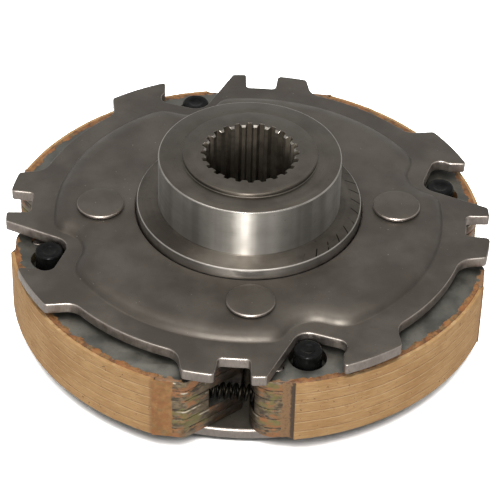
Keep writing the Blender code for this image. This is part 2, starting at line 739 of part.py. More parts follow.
def make_shoes(clutch):
    meshes = {kind: lamination_mesh(clutch, kind) for kind in ("plain", "slotted", "top")}
    lining = sheet_mesh([lining_outline()], SHOE_BOTTOM + LINING_STEP, SHOE_TOP - LINING_STEP)
    low, high = SHOE_BOTTOM + SHOE_RIVET_RECESS, SHOE_TOP - SHOE_RIVET_RECESS
    side = [(SHOE_RIVET_RADIUS, high), (SHOE_RIVET_RADIUS, low)]
    rivet = turned_mesh([(0, high)] + side + [(0, low)], HOLE_STEPS)
    spring = tube_mesh(spring_path(), WIRE_RADIUS)
    for i in range(STATIONS):
        pivot = bpy.data.objects.new(f"shoe_{i + 1}_pivot", None)
        pivot.location = (*polar(PIN_CIRCLE, pin_angle(i)), 0)
        pivot.rotation_euler.z = pin_angle(i) - REST_SWING
        clutch.parts.objects.link(pivot)
        for level in range(1, LAMINATIONS + 1):
            kind = "slotted" if level in SLOTTED_LAMINATIONS else "plain"
            kind = "top" if level == LAMINATIONS else kind
            plate = clutch.piece(f"shoe_{i + 1}_plate_{level}", meshes[kind], SHOE_STEEL, pivot)
            plate.location.z = SHOE_BOTTOM + (level - 1) * LAMINATION_PITCH
        clutch.piece(f"lining_{i + 1}", lining, FRICTION, pivot)
        for kind, at in zip(("lobe", "tip"), shoe_rivet_points()):
            held = clutch.piece(f"shoe_{i + 1}_{kind}_rivet", rivet, STAINED_STEEL, pivot)
            held.location = (*at, 0)
        clutch.piece(f"return_spring_{i + 1}", spring, SPRING_STEEL, pivot)


def spring_path():
    """Hook, coil and hook between the two rivets, at the middle of the stack."""
    tip, lobe = spring_ends()
    along = (lobe - tip).normalized()
    side = Vector((-along.y, along.x))
    span = (lobe - tip).length
    clear = HOOK_RADIUS + HOOK_NECK
    turns = math.floor((span - 2 * clear) / COIL_PITCH)
    coil = turns * COIL_PITCH
    start = (span - coil) / 2

    def at(forward, sideways, up):
        flat = tip + along * forward + side * sideways
        return (flat.x, flat.y, SPRING_LEVEL + up)

    def hook(centre, facing):
        """Points round a rivet, from the loop's free end to the side that the coil leaves by."""
        loop = []
        for i in range(HOOK_POINTS):
            angle = HOOK_SWEEP * (1 - i / (HOOK_POINTS - 1))
            ahead, sideways = polar(HOOK_RADIUS, angle)
            loop.append(at(centre + facing * ahead, sideways, 0))
        return loop

    points = hook(0, 1)
    steps = turns * COIL_POINTS
    for i in range(steps + 1):
        up, sideways = polar(COIL_RADIUS, 360 * DEG * i / COIL_POINTS)
        points.append(at(start + coil * i / steps, sideways, up))
    return points + hook(span, -1)[::-1]


def main():
    clear_scene()
    clutch = Clutch()
    make_back_plate(clutch)
    make_front_plate(clutch)
    make_hub(clutch)
    make_rivets_and_spacers(clutch)
    make_pins(clutch)
    make_shoes(clutch)


main()
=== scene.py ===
"""The looks of the centrifugal clutch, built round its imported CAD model. Metres, +Z up."""

import math

import bpy
from mathutils import Matrix, Vector, noise
from mathutils.geometry import tessellate_polygon


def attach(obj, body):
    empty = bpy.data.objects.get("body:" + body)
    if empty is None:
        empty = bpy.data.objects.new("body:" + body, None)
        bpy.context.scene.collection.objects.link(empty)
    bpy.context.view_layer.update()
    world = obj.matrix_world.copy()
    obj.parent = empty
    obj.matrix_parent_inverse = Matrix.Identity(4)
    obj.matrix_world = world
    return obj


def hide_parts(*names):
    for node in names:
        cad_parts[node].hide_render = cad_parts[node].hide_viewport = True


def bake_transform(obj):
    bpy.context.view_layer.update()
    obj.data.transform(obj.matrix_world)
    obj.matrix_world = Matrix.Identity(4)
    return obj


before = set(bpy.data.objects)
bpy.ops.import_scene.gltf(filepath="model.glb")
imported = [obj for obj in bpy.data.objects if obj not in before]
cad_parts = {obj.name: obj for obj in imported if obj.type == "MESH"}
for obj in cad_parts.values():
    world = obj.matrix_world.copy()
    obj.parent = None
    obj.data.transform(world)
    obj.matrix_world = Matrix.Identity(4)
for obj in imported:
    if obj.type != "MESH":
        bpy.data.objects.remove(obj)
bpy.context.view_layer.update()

MM = 0.001
DEG = math.pi / 180

# Sizes of the CAD model that the visible pieces follow
STATIONS = 4
STEP = 90 * DEG
CLEARANCE = 0.3 * MM
RIVET_CIRCLE = 41.4 * MM
PIN_CIRCLE = 57.2 * MM
PIN_FROM_RIVET = 15.25 * DEG
REST_SWING = 2.4 * DEG

BACK_RADIUS = 61.8 * MM
BACK_THICKNESS = 3.3 * MM
BACK_EDGE_ROUND = 0.8 * MM

LAMINATIONS = 6
LAMINATION_THICKNESS = 3.05 * MM
LAMINATION_PITCH = LAMINATION_THICKNESS + CLEARANCE
SHOE_OUTER = 65.7 * MM
SHOE_INNER = 48.9 * MM
SHOE_NECK_INNER = 51.5 * MM
SHOE_NECK_ANGLE = -3.5 * DEG
SHOE_NECK_HEADING = -40 * DEG
LOBE_END_FLAT = 0.4 * MM
LOBE_RIVET_CIRCLE = 59.6 * MM
LOBE_ANGLE = -8.3 * DEG
TIP_ANGLE = 61.2 * DEG
TIP_LEAN = 14 * DEG
TIP_FACE_HEADING = -156 * DEG
TIP_BELOW_LINING = 0.2 * MM
TIP_STEP_ROUND = 0.4 * MM
TIP_OUTER_ROUND = 2.0 * MM
TIP_INNER_ROUND = 1.8 * MM
TIP_RIVET_CIRCLE = 56.4 * MM
TIP_RIVET_ANGLE = 61.0 * DEG
SHOE_RIVET_RADIUS = 1.5 * MM
SHOE_RIVET_RECESS = 0.15 * MM
SHOE_EDGE_ROUND = 0.18 * MM
TOP_HOLE_RADIUS = 5.15 * MM

LINING_THICKNESS = 1.3 * MM
LINING_START = -4.85 * DEG
LINING_END = 54.0 * DEG
LINING_STEP = 0.2 * MM

PIN_RADIUS = 3.85 * MM
PIN_TENON_RADIUS = 2.5 * MM
PIN_EDGE_ROUND = 0.7 * MM
PIN_BELOW_PLATE = 1.3 * MM

PLATE_RAISE = 1.4 * MM
PLATE_THICKNESS = 3.3 * MM
TAB_RADIUS = 67.9 * MM
RIM_RADIUS = 61.1 * MM
CROWN_RADIUS = 54.4 * MM
CROWN_RISE = 2.5 * MM
CROWN_HORN_ROUND = 5.5 * MM
CROWN_SCALLOP_ROUND = 8.5 * MM
CROWN_POCKET_ROUND = 8.0 * MM
CROWN_HORN_SIDE_GAP = 3.25 * MM
CROWN_POCKET_SIDE_GAP = 6.15 * MM

SMALL_TAB_START = -15.7 * DEG
SMALL_TAB_LEAN = 24 * DEG
SMALL_TAB_END = -8.25 * DEG
HORN_START = -0.15 * DEG
HORN_FLANK_HEADING = 138.4 * DEG
HORN_FLANK_GAP = 0.55 * MM
POCKET_FLANK_HEADING = 54.8 * DEG
POCKET_FLANK_GAP = 1.0 * MM
POCKET_WALL_HEADING = -43.3 * DEG
POCKET_WALL_GAP = 5.8 * MM
WIDE_TAB_FLANK_HEADING = -16.0 * DEG
WIDE_TAB_FLANK_GAP = 5.4 * MM
WIDE_TAB_END = 35.9 * DEG
WIDE_TAB_LEAN = 30 * DEG
RECESS_ROUND = 5.0 * MM
TAB_ROUND = 1.2 * MM
SLOT_ROUND = 1.3 * MM
HORN_ROUND = 0.8 * MM
NOTCH_ROUND = 4.2 * MM
POCKET_ROUND = 2.8 * MM
WALL_ROUND = 1.5 * MM

HUB_RADIUS = 25.4 * MM
HUB_RISE = 20.4 * MM
BOSS_RADIUS = 18.7 * MM
BOSS_RISE = 1.2 * MM
COLLAR_RADIUS = 31.4 * MM
COLLAR_RISE = 5.5 * MM
HUB_DISC_RADIUS = 38.0 * MM
EAR_HALF_WIDTH = 6.2 * MM
EAR_END_FLAT = 0.4 * MM
EAR_TAPER = 4 * DEG
EAR_CORNER = 2.5 * MM
EAR_THICKNESS = 5.0 * MM
BARREL_RADIUS = 19.5 * MM
PILOT_RADIUS = 16.0 * MM
PILOT_END = 0.3 * MM
COLLAR_TO_PLATE = 0.4 * MM
SPLINE_TEETH = 24
SPLINE_MAJOR = 13.6 * MM
SPLINE_MINOR = 12.2 * MM
SPLINE_ROOT_SHARE = 0.36
SPLINE_TIP_SHARE = 0.30
SPLINE_CHAMFER = 0.5 * MM

RIVET_RADIUS = 4.0 * MM
RIVET_HEAD_RADIUS = 6.6 * MM
RIVET_HEAD_HEIGHT = 1.0 * MM
FOOT_SPREAD = 1.1 * MM
SPACER_RADIUS = 6.5 * MM

WIRE_RADIUS = 0.45 * MM
COIL_RADIUS = 2.0 * MM
COIL_PITCH = 1.8 * MM
HOOK_NECK = 1.2 * MM
HOOK_PLAY = 0.2 * MM
HOOK_CLEARANCE = 0.8 * MM
HOOK_SWEEP = 300 * DEG

SHOE_BOTTOM = BACK_THICKNESS + CLEARANCE
SHOE_TOP = SHOE_BOTTOM + LAMINATIONS * LAMINATION_PITCH - CLEARANCE
PLATE_BOTTOM = SHOE_TOP + PLATE_RAISE
PLATE_TOP = PLATE_BOTTOM + PLATE_THICKNESS
CROWN_TOP = PLATE_TOP + CROWN_RISE
CROWN_BELOW = CROWN_TOP - PLATE_THICKNESS
EAR_TOP = CROWN_BELOW - CLEARANCE
EAR_BOTTOM = EAR_TOP - EAR_THICKNESS
COLLAR_TOP = PLATE_TOP + COLLAR_RISE
HUB_TOP = PLATE_TOP + HUB_RISE
BOSS_TOP = HUB_TOP + BOSS_RISE
PIN_TOP = PLATE_TOP - PIN_BELOW_PLATE
LOBE_RADIUS = (SHOE_OUTER - SHOE_NECK_INNER) / 2
LOBE_CIRCLE = (SHOE_OUTER + SHOE_NECK_INNER) / 2
LINING_INNER = SHOE_OUTER + CLEARANCE
LINING_OUTER = LINING_INNER + LINING_THICKNESS
TIP_OUTER = LINING_OUTER - TIP_BELOW_LINING
TIP_STEP_ANGLE = LINING_END + CLEARANCE / LINING_OUTER
HOOK_RADIUS = SHOE_RIVET_RADIUS + CLEARANCE + HOOK_PLAY + WIRE_RADIUS
SLOT_HALF_WIDTH = HOOK_RADIUS + WIRE_RADIUS + HOOK_CLEARANCE
SPRING_LEVEL = SHOE_BOTTOM + LAMINATIONS / 2 * LAMINATION_PITCH - CLEARANCE / 2

SLOTTED = (3, 4)
PRESSED = 0.11 * MM

# Fineness of the visible meshes
ARC_STEP = 1.5 * DEG
LINE_STEP = 1.5 * MM
CORNER_STEP = 9 * DEG
TURNED_STEPS = 192
HOLE_STEPS = 48
FOOT_STEPS = 32
HOOK_STEPS = 24
COIL_STEPS = 20
LINING_STEPS = 116
LINING_ROWS = 40
GLUE_STEPS = 150
GLUE_ROWS = 30


def polar(radius, angle):
    return Vector((radius * math.cos(angle), radius * math.sin(angle)))


def turned(point, angle):
    c, s = math.cos(angle), math.sin(angle)
    return Vector((c * point.x - s * point.y, s * point.x + c * point.y))


def angle_of(vector):
    return math.atan2(vector.y, vector.x)


class Line:
    """A straight edge of an outline, through a point and along a heading."""

    def __init__(self, point, heading):
        self.point = Vector(point)
        self.heading = heading

    def direction(self, where):
        return polar(1, self.heading)

    def offset(self, distance):
        return Line(self.point + polar(distance, self.heading + 90 * DEG), self.heading)

    def foot(self, point):
        along = self.direction(point)
        return self.point + along * (point - self.point).dot(along)

    def turned(self, angle):
        return Line(turned(self.point, angle), self.heading + angle)

    def steps(self, start, end):
        return (end - start).length / LINE_STEP

    def between(self, start, end, count):
        return [start.lerp(end, i / count) for i in range(1, count)]


class Ring:
    """An edge that runs along a circle, anticlockwise when sense is 1."""

    def __init__(self, radius, sense=1, centre=(0, 0)):
        self.radius = radius
        self.sense = sense
        self.centre = Vector(centre)

    def direction(self, where):
        out = (where - self.centre).normalized()
        return Vector((-out.y, out.x)) * self.sense

    def offset(self, distance):
        return Ring(self.radius - self.sense * distance, self.sense, self.centre)

    def foot(self, point):
        return self.centre + (point - self.centre).normalized() * self.radius

    def turned(self, angle):
        return Ring(self.radius, self.sense, turned(self.centre, angle))

    def sweep(self, start, end):
        turn = (angle_of(end - self.centre) - angle_of(start - self.centre)) * self.sense
        return turn % (360 * DEG) * self.sense

    def steps(self, start, end):
        return abs(self.sweep(start, end)) / ARC_STEP

    def between(self, start, end, count):
        first, turn = angle_of(start - self.centre), self.sweep(start, end)
        return [self.centre + polar(self.radius, first + turn * i / count) for i in range(1, count)]


def crossings(a, b):
    """The points where two edges meet, as a list."""
    if isinstance(a, Line) and isinstance(b, Line):
        d, e = a.direction(None), b.direction(None)
        gap = b.point - a.point
        return [a.point + d * (gap.x * e.y - gap.y * e.x) / (d.x * e.y - d.y * e.x)]
    if isinstance(a, Line):
        middle = a.foot(b.centre)
        along = a.direction(None) * math.sqrt(b.radius ** 2 - (middle - b.centre).length_squared)
        return [middle + along, middle - along]
    return crossings(b, a)


def corner(a, b, radius, inset):
    """The centre, radius, first angle, sweep, start and end of the rounded corner from edge a into
    edge b, when both are moved inwards by inset."""
    near = a.point if isinstance(a, Line) else b.point
    sharp = min(crossings(a, b), key=lambda p: (p - near).length)
    d, e = a.direction(sharp), b.direction(sharp)
    convex = d.x * e.y - d.y * e.x > 0
    side = radius if convex else -radius
    centre = min(crossings(a.offset(side), b.offset(side)), key=lambda p: (p - sharp).length)
    start, end = a.offset(inset).foot(centre), b.offset(inset).foot(centre)
    moved = radius - inset if convex else radius + inset
    first = angle_of(a.foot(centre) - centre)
    sweep = math.remainder(angle_of(b.foot(centre) - centre) - first, 360 * DEG)
    return centre, moved, first, sweep, start, end


def outline(edges, inset=0.0):
    """A closed outline from (edge, radius of the corner after it) pairs, moved inwards by inset.
    It has the same number of points whatever the inset."""
    pairs = list(zip(edges, edges[1:] + edges[:1]))
    corners = [corner(a, b, radius, inset) for (a, radius), (b, _) in pairs]
    plain = [corner(a, b, radius, 0) for (a, radius), (b, _) in pairs]
    points = []
    for i, (edge, _) in enumerate(edges):
        steps = max(1, round(edge.steps(plain[i - 1][5], plain[i][4])))
        points += edge.offset(inset).between(corners[i - 1][5], corners[i][4], steps)
        centre, radius, first, sweep, _, _ = corners[i]
        turns = max(3, round(abs(sweep) / CORNER_STEP))
        points += [centre + polar(radius, first + sweep * j / turns) for j in range(turns + 1)]
    return points


def circle(radius, centre=(0, 0), steps=HOLE_STEPS):
    return [Vector(centre) + polar(radius, 360 * DEG * i / steps) for i in range(steps)]


def repeated(station):
    """One station's edges, turned round the shaft for every station."""
    return [(edge.turned(i * STEP), radius) for i in range(STATIONS) for edge, radius in station]


def linked(name, data):
    """A new object in the scene."""
    thing = bpy.data.objects.new(name, data)
    bpy.context.scene.collection.objects.link(thing)
    return thing


def smoothed(mesh, sharp):
    mesh.shade_smooth()
    mesh.set_sharp_from_angle(angle=sharp)
    return mesh


def baked(thing, sharp):
    """The mesh that an object's curve or modifiers make. The object is removed."""
    bpy.context.view_layer.update()
    graph = bpy.context.evaluated_depsgraph_get()
    mesh = bpy.data.meshes.new_from_object(thing.evaluated_get(graph))
    bpy.data.objects.remove(thing, do_unlink=True)
    return smoothed(mesh, sharp)


class Solid:
    """Collects the loops and faces of one piece. Each face has the number of its finish."""

    def __init__(self):
        self.points = []
        self.faces = []
        self.finishes = []

    def face(self, corners, finish=0):
        self.faces.append(tuple(corners))
        self.finishes.append(finish)

    def loop(self, points, heights):
        """A closed loop of points at one height, or at a height for each of them."""
        if not isinstance(heights, list):
            heights = [heights] * len(points)
        first = len(self.points)
        self.points += [(p[0], p[1], height) for p, height in zip(points, heights)]
        return list(range(first, len(self.points)))

    def wall(self, lower, upper, finish=0):
        """The band between two loops of the same count, seen from outside when anticlockwise. One
        of them may be a single point."""
        count = max(len(lower), len(upper))
        for i in range(count):
            j = (i + 1) % count
            low = (lower[i], lower[j]) if len(lower) > 1 else (lower[0],)
            high = (upper[j], upper[i]) if len(upper) > 1 else (upper[0],)
            self.face(low + high, finish)

    def walls(self, loops, finishes=0):
        """Bands from loop to loop, which face outwards where the loops go up."""
        if not isinstance(finishes, list):
            finishes = [finishes] * (len(loops) - 1)
        for lower, upper, finish in zip(loops, loops[1:], finishes):
            self.wall(lower, upper, finish)
        return loops

    def cap(self, outer, holes=(), up=True, finish=0):
        """A flat face inside a loop and outside any holes."""
        rings = [outer, *holes]
        flat = [[Vector((*self.points[i][:2], 0)) for i in ring] for ring in rings]
        index = [i for ring in rings for i in ring]
        for a, b, c in tessellate_polygon(flat):
            a, b, c = index[a], index[b], index[c]
            p, q, r = (Vector(self.points[i][:2]) for i in (a, b, c))
            turn = (q.x - p.x) * (r.y - p.y) - (q.y - p.y) * (r.x - p.x)
            if abs(turn) > 1e-16:
                self.face((a, b, c) if (turn > 0) == up else (c, b, a), finish)

    def rounds(self, section, centre=(0, 0), steps=TURNED_STEPS, finishes=0):
        """Bands through circles of each (radius, height). One without a radius is a point."""
        return self.walls([self.loop(circle(radius, centre, steps) if radius else [centre], height)
                           for radius, height in section], finishes)

    def caps(self, low, high, bores):
        """The flat faces below and above, outside bores whose loops go down."""
        self.cap(high, [bore[0] for bore in bores])
        self.cap(low, [bore[-1] for bore in bores], False)

    def mesh(self, looks, sharp=40 * DEG):
        mesh = bpy.data.meshes.new("piece")
        mesh.from_pydata(self.points, [], self.faces)
        for look in looks:
            mesh.materials.append(look)
        mesh.polygons.foreach_set("material_index", self.finishes)
        mesh.validate()
        return smoothed(mesh, sharp)

    def object(self, name, looks, sharp=40 * DEG):
        mesh = self.mesh(looks, sharp)
        mesh.name = name
        return linked(name, mesh)


def bar(sections, end_faces=lambda loop: [loop]):
    """A bar through sections of the same count, which go anticlockwise round the shaft or down.
    Each end is one face, or the faces that end_faces makes of its loop."""
    solid = Solid()
    loops = [solid.loop(section, [p[2] for p in section]) for section in sections]
    solid.walls(loops[::-1])
    for face in end_faces(loops[0]):
        solid.face(face)
    for face in end_faces(loops[-1]):
        solid.face(face[::-1])
    return solid


def sheet(edges, holes, low, high, edge_round=0.25 * MM):
    """A stamped plate with rounded edges. Finish 0 is its face and finish 1 its sheared edge."""
    solid = Solid()
    near = edge_round * 0.3
    section = [(edge_round, low), (near, low + near), (0, low + edge_round),
               (0, high - edge_round), (near, high - near), (edge_round, high)]
    loops = solid.walls([solid.loop(outline(edges, inset), height) for inset, height in section], 1)
    bores = [solid.walls([solid.loop(hole, high), solid.loop(hole, low)], 1) for hole in holes]
    solid.caps(loops[0], loops[-1], bores)
    return solid


def lathe(profile, steps=TURNED_STEPS, finishes=0):
    """A solid of revolution. The profile runs up its outer side as (radius, height) points. One
    that starts and ends off the shaft closes on itself."""
    solid = Solid()
    loops = solid.rounds(profile, steps=steps, finishes=finishes)
    if profile[0][0] and profile[-1][0]:
        solid.wall(loops[-1], loops[0])
    return solid


def bevelled(radius, low, high, bevel):
    """Up a round edge that is bevelled at both ends, as (radius, height) points."""
    near = radius - bevel
    return [(near, low), (radius, low + bevel), (radius, high - bevel), (near, high)]


class Field:
    """A value that varies over a material or a world. Arithmetic on it adds nodes."""

    def __init__(self, tree, socket):
        self.tree = tree
        self.socket = socket

    def __add__(self, other):
        return self.tree.math("ADD", self, other)

    def __mul__(self, other):
        return self.tree.math("MULTIPLY", self, other)

    def ramp(self, low, high, start=0.0, end=1.0):
        """Runs smoothly from start to end while the field runs from low to high."""
        inputs = (self, low, high, start, end)
        return self.tree.node("MapRange", inputs, interpolation_type="SMOOTHSTEP")


class Tree:
    """The nodes of one material or world."""

    def __init__(self, owner):
        owner.use_nodes = True
        self.nodes = owner.node_tree.nodes
        self.links = owner.node_tree.links

    def feed(self, socket, value):
        if isinstance(value, Field):
            self.links.new(value.socket, socket)
        else:
            socket.default_value = (*value, 1) if socket.type == "RGBA" else value

    def node(self, kind, inputs=(), output=0, **settings):
        """A new node. Its inputs are given in order or by key."""
        node = self.nodes.new("ShaderNode" + kind)
        for name, value in settings.items():
            setattr(node, name, value)
        for key, value in inputs.items() if isinstance(inputs, dict) else enumerate(inputs):
            self.feed(node.inputs[key], value)
        return Field(self, node.outputs[output]) if node.outputs else None

    def math(self, operation, *values):
        return self.node("Math", values, operation=operation)

    def ray(self, kind):
        return self.node("LightPath", output=f"Is {kind} Ray")


class Look(Tree):
    """One node material, painted in layers. Its fields are in millimetres and degrees."""

    def __init__(self, name, **constants):
        self.material = bpy.data.materials.new(name)
        super().__init__(self.material)
        self.shader = self.nodes["Principled BSDF"]
        for key, value in constants.items():
            self.shader.inputs[key.replace("_", " ")].default_value = value
        self.place = self.node("TexCoord", output="Object")
        self.x, self.y, self.height = (
            self.node("SeparateXYZ", (self.place,), i) * 1000.0 for i in range(3))
        self.radius = self.math("SQRT", self.x * self.x + self.y * self.y)
        self.angle = self.math("ARCTAN2", self.y, self.x) * (1 / DEG)

    def vector(self, x, y, z):
        return self.node("CombineXYZ", (x, y, z))

    def level(self):
        """Height up a shoe, counted in laminations."""
        return (self.height + -SHOE_BOTTOM / MM) * (MM / LAMINATION_PITCH)

    def noise(self, size, seed, detail=3, rough=0.6, place=None):
        """Noise with spots of that size, in millimetres or in the units of its place."""
        inputs = {"Vector": place or self.place, "Scale": (1 if place else 1000) / size,
                  "Detail": detail, "Roughness": rough, "W": seed}
        return self.node("TexNoise", inputs, "Fac", noise_dimensions="4D")

    def mix(self, share, a, b):
        return self.node("Mix", {0: share, 6: a, 7: b}, 2, data_type="RGBA", clamp_factor=True)

    def base(self, share, a, b):
        """The first layer runs from colour a to colour b."""
        self.colour = self.mix(share, a, b)

    def paint(self, colour, where, low=0.0, high=None, most=1.0):
        """A layer over what is there: as the field says, or as it runs from low to high."""
        share = where if high is None else where.ramp(low, high, 0.0, most)
        self.colour = self.mix(share, self.colour, colour)

    def bump(self, height, depth, strength):
        inputs = {"Height": height, "Distance": depth * MM, "Strength": strength}
        self.feed(self.shader.inputs["Normal"], self.node("Bump", inputs))

    def done(self, roughness, metallic=None):
        self.feed(self.shader.inputs["Base Color"], self.colour)
        self.feed(self.shader.inputs["Roughness"], roughness)
        if metallic:
            self.feed(self.shader.inputs["Metallic"], metallic)
        return self.material


def pressed_steel(name, dark, light, seed):
    """Rolled and pressed sheet: dull, mottled, with small dark pits and a few bright specks."""
    look = Look(name, Metallic=0.6, Specular_IOR_Level=0.3)
    cloud = look.noise(4.5, seed + 3, 4)
    fine = look.noise(0.9, seed + 7)
    look.base(look.noise(16, seed, 3, 0.55).ramp(0.35, 0.65), dark, light)
    look.paint((0.062, 0.050, 0.040), cloud, 0.52, 0.68, 0.35)
    look.paint((0.045, 0.036, 0.030), fine, 0.60, 0.70, 0.5)
    look.paint((0.26, 0.25, 0.22), look.noise(0.55, seed + 11, 1, 0.5), 0.76, 0.80, 0.7)
    look.bump(fine + cloud * 2.0, 0.012, 0.6)
    return look.done(cloud.ramp(0.3, 0.7, 0.42, 0.52))


def sheared_steel(name, bright, dull, seed):
    """The cut edge of a stamped plate, lightly streaked and spotted with oil."""
    look = Look(name, Metallic=1.0)
    along = look.vector(look.angle * 1.1, look.height * 0.25, look.radius)
    streak = look.noise(0.5, seed, place=along)
    spot = look.noise(1.4, seed + 2)
    look.base(streak.ramp(0.3, 0.75, 0.0, 0.6), bright, dull)
    look.paint(dull, look.noise(6, seed + 4), 0.45, 0.7, 0.6)
    look.paint((0.11, 0.085, 0.065), spot, 0.60, 0.72, 0.5)
    look.bump(streak + spot * 3.0, 0.012, 0.5)
    return look.done(spot.ramp(0.3, 0.7, 0.34, 0.5))


def lamination_face():
    """The blue-grey stamped face of a shoe, with brown adhesive pressed out beside the lining and
    painted shade at the lobe end under the front plate.
    """
    look = Look("shoe_face")
    cloud = look.noise(7, 21, 4)
    fine = look.noise(0.8, 25)
    look.base(cloud.ramp(0.35, 0.65), (0.064, 0.062, 0.053), (0.104, 0.100, 0.085))
    look.paint((0.05, 0.045, 0.036), fine, 0.62, 0.72, 0.6)
    ragged = look.radius + look.noise(2.2, 29, 4, 0.65).ramp(0.3, 0.7, -0.9, 0.9)
    glue = ragged.ramp(64.9, 65.25)
    spill = look.mix(look.noise(0.9, 31), (0.12, 0.055, 0.020), (0.25, 0.125, 0.045))
    look.paint(spill, glue)
    # Painted shade: near black at the lobe end, which lies in the front plate's shadow
    look.paint((0.006, 0.005, 0.004), look.angle, 4.0, 0.5, 0.95)
    look.bump(fine + glue * 1.5, 0.02, 0.5)
    return look.done(cloud.ramp(0.3, 0.7, 0.38, 0.52), glue * -0.85 + 0.85)


def lamination_edge():
    """The cut edges of a shoe: oily steel smeared with orange, green-yellow and dark stains, with
    painted shade turning it near black further in and at the lobe end under the front plate, and a
    painted glint at the upper corner of some laminations."""
    look = Look("shoe_edge", Specular_IOR_Level=0.3)
    flat = look.vector(look.x * 0.52, look.y * 0.52, look.height)
    streak = look.noise(0.8, 41, place=flat)
    patch = look.noise(3.0, 43, 4, 0.65, flat)
    other = look.noise(2.4, 47, 4, 0.65, flat)
    look.base(streak.ramp(0.35, 0.65), (0.066, 0.048, 0.025), (0.170, 0.125, 0.075))
    look.paint((0.265, 0.105, 0.030), patch, 0.50, 0.58, 0.85)
    look.paint((0.140, 0.120, 0.036), other, 0.54, 0.62, 0.8)
    look.paint((0.026, 0.020, 0.013), other, 0.43, 0.35, 0.85)
    level = look.level()
    part = look.math("FRACT", level)
    seam = part.ramp(0.06, 0.02) + part.ramp(0.85, 0.90)
    broken = look.noise(2.6, 49, 3, 0.7).ramp(0.46, 0.60, 0.0, 0.7)
    look.paint((0.022, 0.018, 0.013), seam * broken)
    each = look.vector(look.x, look.y, look.math("FLOOR", level) * 9.0)
    # Painted glint: a pale streak along the upper corner of some laminations
    painted_glint = look.noise(3.2, 50, 2, 0.5, each).ramp(0.54, 0.62)
    look.paint((0.44, 0.38, 0.29), painted_glint * part.ramp(0.66, 0.72) * part.ramp(0.86, 0.80))
    # Painted shade: near black further in towards the shaft and at the lobe end under the front
    # plate
    painted_shade_inward = look.radius.ramp(55.5, 63.8, 0.95, 0.0)
    under = look.angle.ramp(0.6, 3.0, 0.9, 0.0)
    look.paint((0.010, 0.006, 0.003), look.math("MAXIMUM", painted_shade_inward, under))
    look.bump(streak + patch, 0.05, 0.6)
    return look.done(streak.ramp(0.3, 0.7, 0.36, 0.55), patch.ramp(0.50, 0.58, 0.35, 0.05))


def friction_paper():
    """Tan friction lining: fine fibres along the sweep, dark flecks, and a crease at each seam of
    the stack, with painted shade above it and a painted highlight below."""
    look = Look("friction_paper", Metallic=0.0, Specular_IOR_Level=0.25)
    along = look.vector(look.angle * 0.35, look.height * 3.0, look.radius)
    fibre = look.noise(0.9, 51, 4, place=along)
    cloud = look.noise(9, 53)
    look.base(cloud.ramp(0.3, 0.7), (0.300, 0.164, 0.060), (0.380, 0.226, 0.094))
    look.paint((0.205, 0.102, 0.036), fibre, 0.45, 0.75, 0.6)
    look.paint((0.46, 0.30, 0.150), fibre, 0.42, 0.28, 0.5)
    waver = look.noise(5, 57, 2, 0.5).ramp(0.3, 0.7, 0.015, 0.075)
    part = look.math("FRACT", look.level() + waver)
    broken = look.noise(4, 59, 3, 0.7).ramp(0.34, 0.5, 0.25, 1.0)
    # Painted shade in the groove above each crease and a painted highlight on the ledge below it
    dark = part.ramp(0.0, 0.012) * part.ramp(0.09, 0.045)
    painted_highlight = part.ramp(0.88, 0.94) * part.ramp(1.0, 0.985)
    look.paint((0.150, 0.070, 0.024), dark * broken * 0.70)
    look.paint((0.52, 0.36, 0.19), painted_highlight * broken * 0.58)
    short = look.vector(look.angle * 0.12, look.height * 0.9, 0.0)
    grain = look.noise(0.5, 67, 2, 0.5, short)
    look.paint((0.20, 0.100, 0.036), grain, 0.55, 0.72, 0.45)
    look.paint((0.50, 0.34, 0.175), grain, 0.42, 0.28, 0.40)
    look.paint((0.085, 0.035, 0.014), look.noise(0.7, 61, 1, 0.5), 0.70, 0.75, 0.85)
    look.paint((0.165, 0.078, 0.030), look.angle, 68.0, 69.0, 0.55)
    look.paint((0.20, 0.085, 0.030), look.noise(3.5, 65, 4, 0.7), 0.62, 0.75, 0.5)
    look.bump(fibre + cloud * 0.5, 0.07, 0.7)
    return look.done(0.82)


def turned_steel(name, colour, other, roughness, seed, anisotropic=0.0, reflection_bands=0.0, ticks=False):
    """Lathe-turned steel with fine rings about the shaft, which stretch a highlight across them.
    It may have darker bands at places round the shaft, a painted reflection of a darker surround,
    or a row of slanted tool marks."""
    look = Look(name, Metallic=1.0, Anisotropic=anisotropic, Anisotropic_Rotation=0.25)
    rings = look.vector(look.angle * 0.01, look.radius, look.height)
    groove = look.noise(0.16, seed, 3, 0.7, rings)
    band = look.noise(1.6, seed + 1, 2, 0.5, rings)
    look.base(look.noise(9, seed + 2).ramp(0.35, 0.65), colour, other)
    look.paint(tuple(0.55 * c for c in colour), groove, 0.5, 0.75, 0.35)
    look.paint(tuple(0.3 * c for c in colour), look.noise(1.1, seed + 3), 0.66, 0.74, 0.5)
    if ticks:
        slant = look.math("FRACT", look.angle * 0.118 + look.radius * 0.21)
        nick = slant.ramp(0.13, 0.07) * look.radius.ramp(28.2, 28.8)
        nick *= look.angle.ramp(-64, -56) * look.angle.ramp(27, 19)
        look.paint((0.012, 0.010, 0.008), nick * look.noise(3, seed + 6, 2, 0.5).ramp(0.36, 0.46))
    # Painted reflection: darker upright bands that change round the shaft, as a polished wall
    # mirrors its surround
    if reflection_bands:
        turn = look.noise(11, seed + 4, 2, 0.5, look.vector(look.angle, 0.0, 0.0))
        look.paint(tuple(0.5 * c for c in colour), turn, 0.40, 0.60, reflection_bands)
    if anisotropic:
        tangent = look.node("Tangent", direction_type="RADIAL", axis="Z")
        look.feed(look.shader.inputs["Tangent"], tangent)
    look.bump(groove, 0.006, 0.5)
    return look.done(band.ramp(0.3, 0.7, roughness - 0.04, roughness + 0.06))


